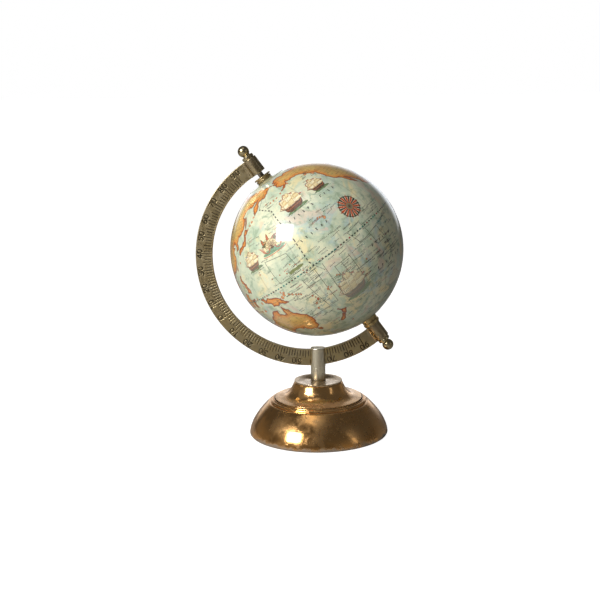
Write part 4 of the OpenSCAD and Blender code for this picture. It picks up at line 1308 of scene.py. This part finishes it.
def drawShip(name, ship):
    # a plain three-masted ship under full sail
    art = Drawing(ship["fade"])
    art.penAt(*ship["at"], ship["turn"], ship["scale"])
    chance = random.Random(name)
    art.fill(oval(0.8, -2.5, 6.4, 1.2, 22), "green", 0)
    for k in range(11):
        wave = bow(-5.6 + 1.3 * k, -2.7 + chance.uniform(-0.9, 0.4), 0.8, 0.4, 200, 340, 5)
        art.line(wave, 0.34, "seaGreen" if k % 3 else "dark", 1)
    # one mass of canvas, then the single sails over it
    canvas = [(-5.4, 1.5), (-6.3, 3.4), (-5.0, 5.0), (-5.2, 6.9), (-3.5, 8.0), (-2.1, 7.4), (-1.5, 9.3),
              (0.9, 9.8),
              (2.2, 8.2), (4.5, 7.9), (5.0, 6.0), (6.3, 4.5), (5.7, 2.6), (4.0, 1.5), (0.2, 0.7), (-3.4, 1.1)]
    art.edged(canvas, "sail", 1, 0.62, "shore", 2)
    deck = [(-5.4, 1.5), (-3.4, 0.6), (3.7, 0.9), (4.5, 2.3), (6.0, 2.9)]
    keel = [(-4.9, -1.0), (-3.3, -2.4), (3.1, -2.4), (4.9, -1.0)]
    art.fill(deck[:1] + keel + deck[:0:-1], ship["hull"], 3)
    art.line(deck, 0.3, "hullDark", 4)
    art.line([(-5.0, 0.2), (-3.3, -0.5), (3.9, -0.3), (5.2, 1.2)], 0.24, "orange", 4)
    art.line([(-4.5, -1.2), (-3.2, -1.7), (3.2, -1.7), (4.6, -0.8)], 0.4, "hullDark", 4)
    for k in range(7):
        art.line([(-3.2 + k, -1.1), (-2.8 + k, -1.1)], 0.4, "hullDark", 4)
    art.line([(-5.0, 1.0), (-7.6, 2.9)], 0.36, "line", 3)
    for step, (mast, tall) in enumerate(((-3.3, 7.4), (0.2, 9.0), (3.6, 7.0))):
        drawSails(art, mast, tall, step)
    art.edged([(-7.4, 2.8), (-5.0, 4.8), (-4.6, 1.9)], "sail", 2, 0.26, "shore", 3)
    art.line([(5.7, 2.8), (6.2, 4.6)], 0.26, "line", 3)
    art.fill([(6.2, 4.6), (7.6, 4.3), (7.0, 3.7), (6.0, 3.7)], "red", 4)
    art.finish(name)


roses = {"compass_rose": {"at": (-136.8, 14.9), "scale": 1.0},
         "atlantic_rose": {"at": (-30.0, -1.0), "scale": 0.85},
         "indian_rose": {"at": (88.0, -44.0), "scale": 0.9}}


def rotated(line, angle):
    c, s = math.cos(angle), math.sin(angle)
    return [(x * c - y * s, x * s + y * c) for x, y in line]


def drawRose(name, rose):
    # orange and dark green spokes that widen to a toothed ring
    art = Drawing()
    art.penAt(*rose["at"], 0, rose["scale"])
    rim, hub, spokes = 8.1, 2.9, 24
    art.fill(oval(0, 0, rim, rim, 64), "cream", 0)
    for k in range(spokes):
        angle = 2 * math.pi * k / spokes
        wide, tall, tint = (0.76, 0.9, "spokeGreen") if k % 2 else (0.9, 1.5, "spoke")
        spoke = [(hub - 0.2, -0.34), (rim, -wide), (rim, wide), (hub - 0.2, 0.34)]
        tooth = [(rim, -0.62), (rim + tall, 0), (rim, 0.62)]
        art.fill(rotated(spoke, angle), tint, 1)
        art.fill(rotated(tooth, angle), tint, 1)
    art.line(bow(0, 0, rim, rim, 0, 360, 64), 0.6, "spokeGreen", 3)
    art.line(bow(0, 0, 5.4, 5.4, 0, 360, 48), 0.22, "spoke", 3)
    art.edged(oval(0, 0, hub, hub, 28), "hubGrey", 4, 0.34, "spoke", 5)
    tips = [(1.9 if k % 2 else 0.8, math.pi * k / 8) for k in range(16)]
    art.fill([(r * math.cos(a), r * math.sin(a)) for r, a in tips], "line", 5)
    art.fill(oval(0, 0, 0.6, 0.6, 10), "dark", 6)
    art.finish(name)


def leafShape(length, width, bend, lean):
    # a curved leaf as an outline and its middle vein
    middle = [(length * t, bend * math.sin(math.pi * t * 0.8)) for t in np.linspace(0, 1, 9)]
    half = [width * math.sin(math.pi * t) ** 0.8 for t in np.linspace(0, 1, 9)]
    outline = [(x, y - h) for (x, y), h in zip(middle, half)]
    outline += [(x, y + h) for (x, y), h in zip(middle, half)][-2:0:-1]
    return [[(x, y - 3.4) for x, y in rotated(line, math.radians(lean))] for line in (outline, middle)]


ornaments = {"shell_ornament": {"at": (163.8, 28.8), "turn": 0, "scale": 1.3},
             "atlantic_ornament": {"at": (-48.0, 42.0), "turn": 10, "scale": 0.8},
             "indian_ornament": {"at": (96.0, -12.0), "turn": -6, "scale": 0.8}}
# length, width, bend and lean of each leaf round the shell
leaves = [(7.4, 0.95, 1.6, 35), (6.6, 0.9, -1.4, 62), (8.2, 1.0, 2.0, 118), (6.4, 0.85, -1.2, 142),
          (6.8, 0.9, 1.4, 12), (6.6, 0.9, -1.3, 165), (7.8, 0.8, 0.8, 90)]


def drawOrnament(name, ornament):
    # a scallop shell on a wave, between curling leaves and coral
    art = Drawing()
    art.penAt(*ornament["at"], ornament["turn"], ornament["scale"])
    art.fill(oval(0, -5.6, 7.6, 1.3, 24), "seaGreen", 0)
    for k in range(10):
        art.line(bow(-6.6 + 1.45 * k, -5.7 - 0.5 * (k % 3), 0.8, 0.5, 20, 170, 6), 0.25, "green", 1)
    art.line(bow(0, -6.0, 8.0, 1.4, 190, 350, 18), 0.45, "orange", 1)
    for i, leaf in enumerate(leaves):
        outline, vein = leafShape(*leaf)
        art.edged(outline, ("rose", "green", "orange", "sailShade")[i % 4], 1 + i % 2, 0.34, "line", 3)
        art.line(vein, 0.2, "shore", 3)
    ribs = 9
    fan = [(0, -4.6)]
    for k, a in enumerate(np.radians(np.linspace(18, 162, ribs * 2 + 1))):
        flare = 1.06 if k % 2 else 0.98
        fan.append((4.3 * math.cos(a) * flare, -4.4 + 5.2 * math.sin(a) * flare))
    art.edged(fan, "canvas", 4, 0.36, "hullDark", 5)
    for a in np.radians(np.linspace(26, 154, ribs)):
        art.line([(0, -4.4), (3.9 * math.cos(a), -4.4 + 4.8 * math.sin(a))], 0.3, "hull", 5)
    for side in (-1, 1):
        curl = [(side * (1.4 + 3.4 * t + 0.9 * math.cos(7 * t)), -4.6 + 0.9 * math.sin(7 * t))
                for t in np.linspace(0, 1, 16)]
        art.line(curl, 0.5, "red", 5)
        for k in range(4):
            coral = [(5.2 + 0.3 * k, -4.6), (5.6 + 0.7 * k, -2.8 + 0.5 * k), (5.3 + 1.0 * k, -1.6 + 0.4 * k)]
            art.line([(side * x, y) for x, y in coral], 0.34, "red" if k % 2 else "orange", 2)
    art.finish(name)


def markRow(art, start, end, height, pitch, tint, chance, layer=2):
    # a row of short pen marks, like writing seen from far off, with no letters in it
    count = max(1, round(degreesApart(start, end) * math.pi / 180 * globeRadius / pitch))
    for k in range(count + 1):
        t = k / count
        art.penAt(start[0] + (end[0] - start[0]) * t, start[1] + (end[1] - start[1]) * t)
        lean = chance.uniform(-0.3, 0.3) * height
        low = (-lean / 2, -height / 2)
        high = (lean / 2, height / 2 * chance.uniform(0.6, 1.0))
        art.line([low, high], height * 0.3, tint, layer)
        if chance.random() < 0.6:
            foot = (high[0] + height * chance.uniform(0.25, 0.5), chance.uniform(-0.4, 0.4) * height)
            art.line([high if chance.random() < 0.5 else low, foot], height * 0.24, tint, layer)


markLook = {
    # heights and pitches in millimetres; each title's two ends;
    # the areas with names, as west, east, south, north and count
    "titleHeight": 2.1, "titlePitch": 4.3, "nameHeight": 0.95, "namePitch": 0.95,
    "titles": """-176,31 -155.3,31.4 -146.3,32.2 -133.3,31.3 -177.1,16.5 -156.6,17 -141,-13 -122,-14
        -144,-28.6 -117,-29.6 -62,30 -38,18 -34,14 -24,12 -28,-18 4,-20 58,-8 92,-8 66,-33 92,-34 60,-55
        110,-56 -60,52 -34,50""",
    "areas": """150,178,-33,12,90 -178,-118,-34,10,150 135,178,12,40,26 -170,-146,20,26,12
        -178,-130,-62,-36,34 -90,-30,-50,40,50 -30,10,-50,55,44 45,100,-55,15,60 100,178,-62,-36,40
        165,179,44,58,6 -150,-128,48,56,8""",
}


def drawMarks():
    chance = random.Random(5)
    titles, names = Drawing(), Drawing()
    ends = pairs(markLook["titles"])
    for start, end in zip(ends[::2], ends[1::2]):
        markRow(titles, start, end, markLook["titleHeight"], markLook["titlePitch"], "dark", chance)
    titles.finish("title_marks")
    for west, east, south, north, count in pairs(markLook["areas"]):
        for _ in range(int(count)):
            x, y = chance.uniform(west, east), chance.uniform(south, north)
            wide = chance.uniform(2.4, 6.5)
            tint = "teal" if chance.random() < 0.07 else "red" if chance.random() < 0.06 else "dark"
            end = (x + wide, y + chance.uniform(-0.4, 0.4))
            markRow(names, (x, y), end, markLook["nameHeight"], markLook["namePitch"], tint, chance, 1)
    names.finish("name_marks")


ruledLines = [
    # width, tint, dash, gap, and lines parted by strokes
    (0.36, "frame", 0, 0, """179,-2 178,-29 / -175,-2 -176,-27 / -170,-8 -169,-29 / -158.5,-7 -157,-25.5 /
        -151,3 -147,-7 -130,-5 -125,-24 / -159,-13 -151,-13.5 / -170,-19 -150,-19.5 / -170,-8.5 -158.5,-8.5
        / 168.5,-3 171,-28 / 154,-28.5 178,-28.7 / 167,-9.5 179,-9.5 / 153,18.6 155,2 172,2.4 / -176,-14
        -170,-14 / -165,-8.5 -164,-19 / -176,-22 -157,-22 / -151,-7 -147,-7 / -138,-6 -136,-15 -128,-15 /
        -130,-24 -112,-24 / -151,3 -140,4 -138,-5 / 153,18.6 170,16 172,2.4 / -60,-30 -60,-42 -40,-42
        -40,-30 -60,-30 / 70,-15 70,-28 82,-28 82,-15 70,-15 / 84,5 84,-5 96,-5 96,5"""),
    (0.34, "frame", 0, 0, "163.3,52.8 174,64"),
    (0.8, "dark", 1.5, 1.2, "163.3,52.8 175.3,45.8 177.3,34.4 179.3,19.8 179,3.4 180.4,0.1"),
    (0.5, "dark", 0.5, 0.45, "180.4,0.1 184,-6"),
    (0.3, "frame", 0.6, 0.8, "-176,-6 -176,-50"),
    (0.3, "frame", 1.0, 1.0, "-80,23.5 -20,23.5 / 45,-23.5 110,-23.5"),
]


def drawLines():
    art = Drawing()
    for width, tint, dash, gap, lines in ruledLines:
        for corners in lines.split("/"):
            art.rule(pairs(corners), width, tint, dash, gap)
    art.finish("ruled_lines")


# longitude, latitude and size
islands = """-155.6,19.6,1.1 -156.5,20.8,0.7 -158,21.5,0.6 -159.5,22,0.5 -91,-0.5,0.9 178,-17.8,0.9
    179,-16.7,0.7 165.5,-21.3,1.0 155,-6.3,0.9 157,-7.5,0.8 159,-8.8,0.8 160.5,-9.6,0.8 161.8,-10.4,0.7
    167,-15.5,0.8 168,-17.5,0.6 169,-19.5,0.6 149.5,-6,1.3 151.6,-5,1.2 152.5,-3.8,1.0 150.8,-2.7,0.8
    -172,-13.6,0.7 -170.7,-14.3,0.5 -175,-21,0.5 -149.5,-17.6,0.6 -139.5,-9.5,0.5 145,15,0.5 145.7,18,0.45
    144.8,13.5,0.55 151.8,7.4,0.5 158.2,6.9,0.5 163,5.3,0.5 171,7.1,0.45 168,9,0.45 173,1.4,0.45 174,-1,0.45
    -168,53.5,0.8 -174,52,0.8 -178,51.8,0.7 178,51.7,0.7 173,52.8,0.7 146,44.3,0.9 149,46,0.9 152,47.5,0.8
    155,50,0.8 128,26.5,0.7 -153.5,57.4,1.0 -126,49.8,1.5 -132,53,1.1 69.5,-49.3,1.2 -16,28.3,0.9
    -28,38.5,0.7 -59,-51.8,1.3 -77.3,18.1,0.9 -66.4,18.2,0.8 125.5,-9,1.3 128,0.7,1.1 129.5,-3.1,1.0
    24.8,35.2,0.9 33,35,0.9 14,37.5,1.2 9,40,1.2 168.5,-19.4,1.3 163.7,-25.3,0.9 174,-53,0.9 -61,14,0.5
    -25,16,0.6 55.5,-21,0.6 57.5,-20.2,0.5 72.5,4,0.4 92.7,12,0.7 115,-8.6,0.8 118,-8.6,1.0 121,-8.7,1.0
    -37,-54.5,0.8 134,33.5,1.0"""


def blob(radius, chance, points, rough, flat):
    return [(radius * (1 + chance.uniform(-rough, rough)) * math.cos(2 * math.pi * k / points),
             radius * flat * (1 + chance.uniform(-rough, rough)) * math.sin(2 * math.pi * k / points))
            for k in range(points)]


def drawIslands():
    chance = random.Random(3)
    art = Drawing()
    for lon, lat, size in pairs(islands):
        art.penAt(lon, lat, chance.uniform(0, 180))
        shape = blob(size, chance, 11, 0.28, chance.uniform(0.5, 0.95))
        art.edged(shape, "red" if size == 1.3 and lat < -19 else "land", 1, 0.26, "shore", 2)
    art.finish("small_islands")


def drawReef():
    art = Drawing()
    art.penAt(169.8, 4.6, 2)
    art.fill([(-6.4, -0.7), (-4.6, -1.2), (-1, -0.9), (2.2, -1.3), (6.5, -0.6), (6.2, 0.4), (3.1, 1.2),
              (0.2, 0.8),
              (-2.2, 1.3), (-5.8, 0.5)], "olive", 1)
    for k in range(6):
        art.line([(-5.4 + 2 * k, -0.3), (-4.2 + 2 * k, 0.3)], 0.25, "green", 2)
    art.finish("reef_strip")


for draw, subjects in ((drawShip, ships), (drawRose, roses), (drawOrnament, ornaments)):
    for name, subject in subjects.items():
        draw(name, subject)
for draw in (drawMarks, drawLines, drawIslands, drawReef):
    draw()
print("ink ready")


capLook = {"bore": 4.0, "thick": 0.45, "play": 0.02, "edge": 0.12}


def capPaper():
    # grey-green polar sheets, darkest round the hub and along their cut edge
    material, tree, shader = newMaterial("varnishedCap")
    point, along = objectPoint(tree), valueOf(tree, "along")
    cloud = noise(tree, point, 60, 5, 0.62, 0.6)
    colour = blendColour(tree, span(tree, cloud, 0.38, 0.6), tone(142, 148, 120), tone(194, 192, 152))
    brush = noise(tree, point, 300, 5, 0.7)
    colour = blendColour(tree, span(tree, brush, 0.5, 0.66, 0.0, 0.6), colour, tone(98, 100, 78))
    colour = blendColour(tree, span(tree, along, 5.8, 8.4, 0.0, 0.7), colour, tone(66, 64, 50))
    line = times(tree, span(tree, along, 0.25, 0.5), span(tree, along, 0.8, 1.1, 1.0, 0.0))
    colour = stain(tree, colour, line, 0.8, tone(58, 52, 38))
    grime = useGroup(tree, "patina", Scale=200, Coverage=0.3, Softness=0.08)
    colour = stain(tree, colour, grime["Mask"], 0.3, tone(84, 72, 46))
    addVarnish(tree, shader, colour)
    return material


def makeCaps():
    material = capPaper()
    for side, place in ends.items():
        size = measured(side + "_cap", place)
        top = size["reach"] - capLook["play"]
        under = top - capLook["thick"]
        outer = math.degrees(math.acos(size["radius"] / size["reach"])) + 0.1
        bore = math.degrees(math.acos(capLook["bore"] / top))
        profile = bow(0, 0, top, top, outer, bore, 16) + bow(0, 0, under, under, bore, outer, 16)
        profile[0] = (*profile[0], capLook["edge"])
        turned(side + "_cap_paper", profile, place, material, "globe", [side + "_cap"], 192)


makeCaps()
print("caps ready")

innerLooks = {
    # two tones, grain and patch scale, how far the grain is drawn out, rings, and the surface
    "greenFelt": {"light": (0.04, 0.11, 0.06), "deep": (0.012, 0.045, 0.025), "grain": 800, "patch": 70,
                  "smooth": 0.9, "rough": 1.0, "metal": 0.0, "depth": 0.15},
    "hardboard": {"light": (0.30, 0.185, 0.10), "deep": (0.15, 0.085, 0.045), "grain": 420, "patch": 50,
                  "stretch": (1, 0.3, 1), "smooth": 0.6, "rough": 0.8, "metal": 0.0, "depth": 0.06},
    "tieSteel": {"light": (0.56, 0.56, 0.55), "deep": (0.25, 0.24, 0.22), "grain": 600, "patch": 160,
                 "stretch": (1, 1, 0.08), "smooth": 0.25, "rough": 0.5, "metal": 1.0, "depth": 0.02},
    "rodSteel": {"light": (0.34, 0.31, 0.25), "deep": (0.10, 0.085, 0.06), "grain": 700, "patch": 200,
                 "stretch": (1, 1, 0.15), "smooth": 0.25, "rough": 0.5, "metal": 1.0, "depth": 0.02},
    "pasteBoard": {"light": (0.44, 0.38, 0.28), "deep": (0.28, 0.23, 0.16), "grain": 300, "patch": 60,
                   "stretch": (1, 1, 0.4), "smooth": 0.75, "rough": 0.95, "metal": 0.0, "depth": 0.08},
    "turnedBeech": {"light": (0.50, 0.31, 0.15), "deep": (0.30, 0.165, 0.07), "grain": 500, "patch": 90,
                    "stretch": (1, 1, 0.12), "rings": 60, "smooth": 0.4, "rough": 0.6, "metal": 0.0,
                    "depth": 0.04},
}
stock = {"greenFelt": ["felt_pad"], "hardboard": ["foot_board"],
         "tieSteel": ["tie_rod", "tie_washer", "tie_nut"],
         "rodSteel": ["axle_rod"], "pasteBoard": ["north_half_ball", "south_half_ball", "equator_band"],
         "turnedBeech": ["north_bush", "south_bush"]}


def stockMaterial(name):
    look = innerLooks[name]
    material, tree, shader = newMaterial(name)
    point = objectPoint(tree)
    grain = noise(tree, mapped(tree, point, "Scale", look.get("stretch", (1, 1, 1))), look["grain"], 4, 0.65)
    patch = noise(tree, point, look["patch"], 4, 0.6, 0.4)
    mixed = plus(tree, times(tree, grain, 0.55), times(tree, patch, 0.45))
    if "rings" in look:
        inputs = {"Vector": point, "Scale": look["rings"], "Distortion": 5.0, "Detail": 3.0}
        rings = addNode(tree, "TexWave", inputs, wave_type="RINGS", rings_direction="Z").outputs["Fac"]
        mixed = plus(tree, times(tree, mixed, 0.7), times(tree, rings, 0.3))
    colour = blendColour(tree, span(tree, mixed, 0.36, 0.64), look["deep"], look["light"])
    spots = useGroup(tree, "patina", Scale=look["patch"] * 2, Coverage=0.25, Softness=0.1)
    colour = stain(tree, colour, spots["Mask"], 0.35, look["deep"])
    scratch = useGroup(tree, "scratches", Scale=140, Amount=0.6)
    colour = stain(tree, colour, scratch["Mask"], 0.4, look["light"])
    tree.links.new(colour, shader.inputs["Base Color"])
    tree.links.new(span(tree, mixed, 0.3, 0.7, look["rough"], look["smooth"]), shader.inputs["Roughness"])
    shader.inputs["Metallic"].default_value = look["metal"]
    joinBump(tree, shader, [(grain, look["depth"], 0.6), (scratch["Mask"], -0.03, 0.4)])
    return material


for name, nodes in stock.items():
    made = stockMaterial(name)
    for node in nodes:
        for place in frame["nodes"][node].material_slots:
            place.material = made
print("inner parts finished")
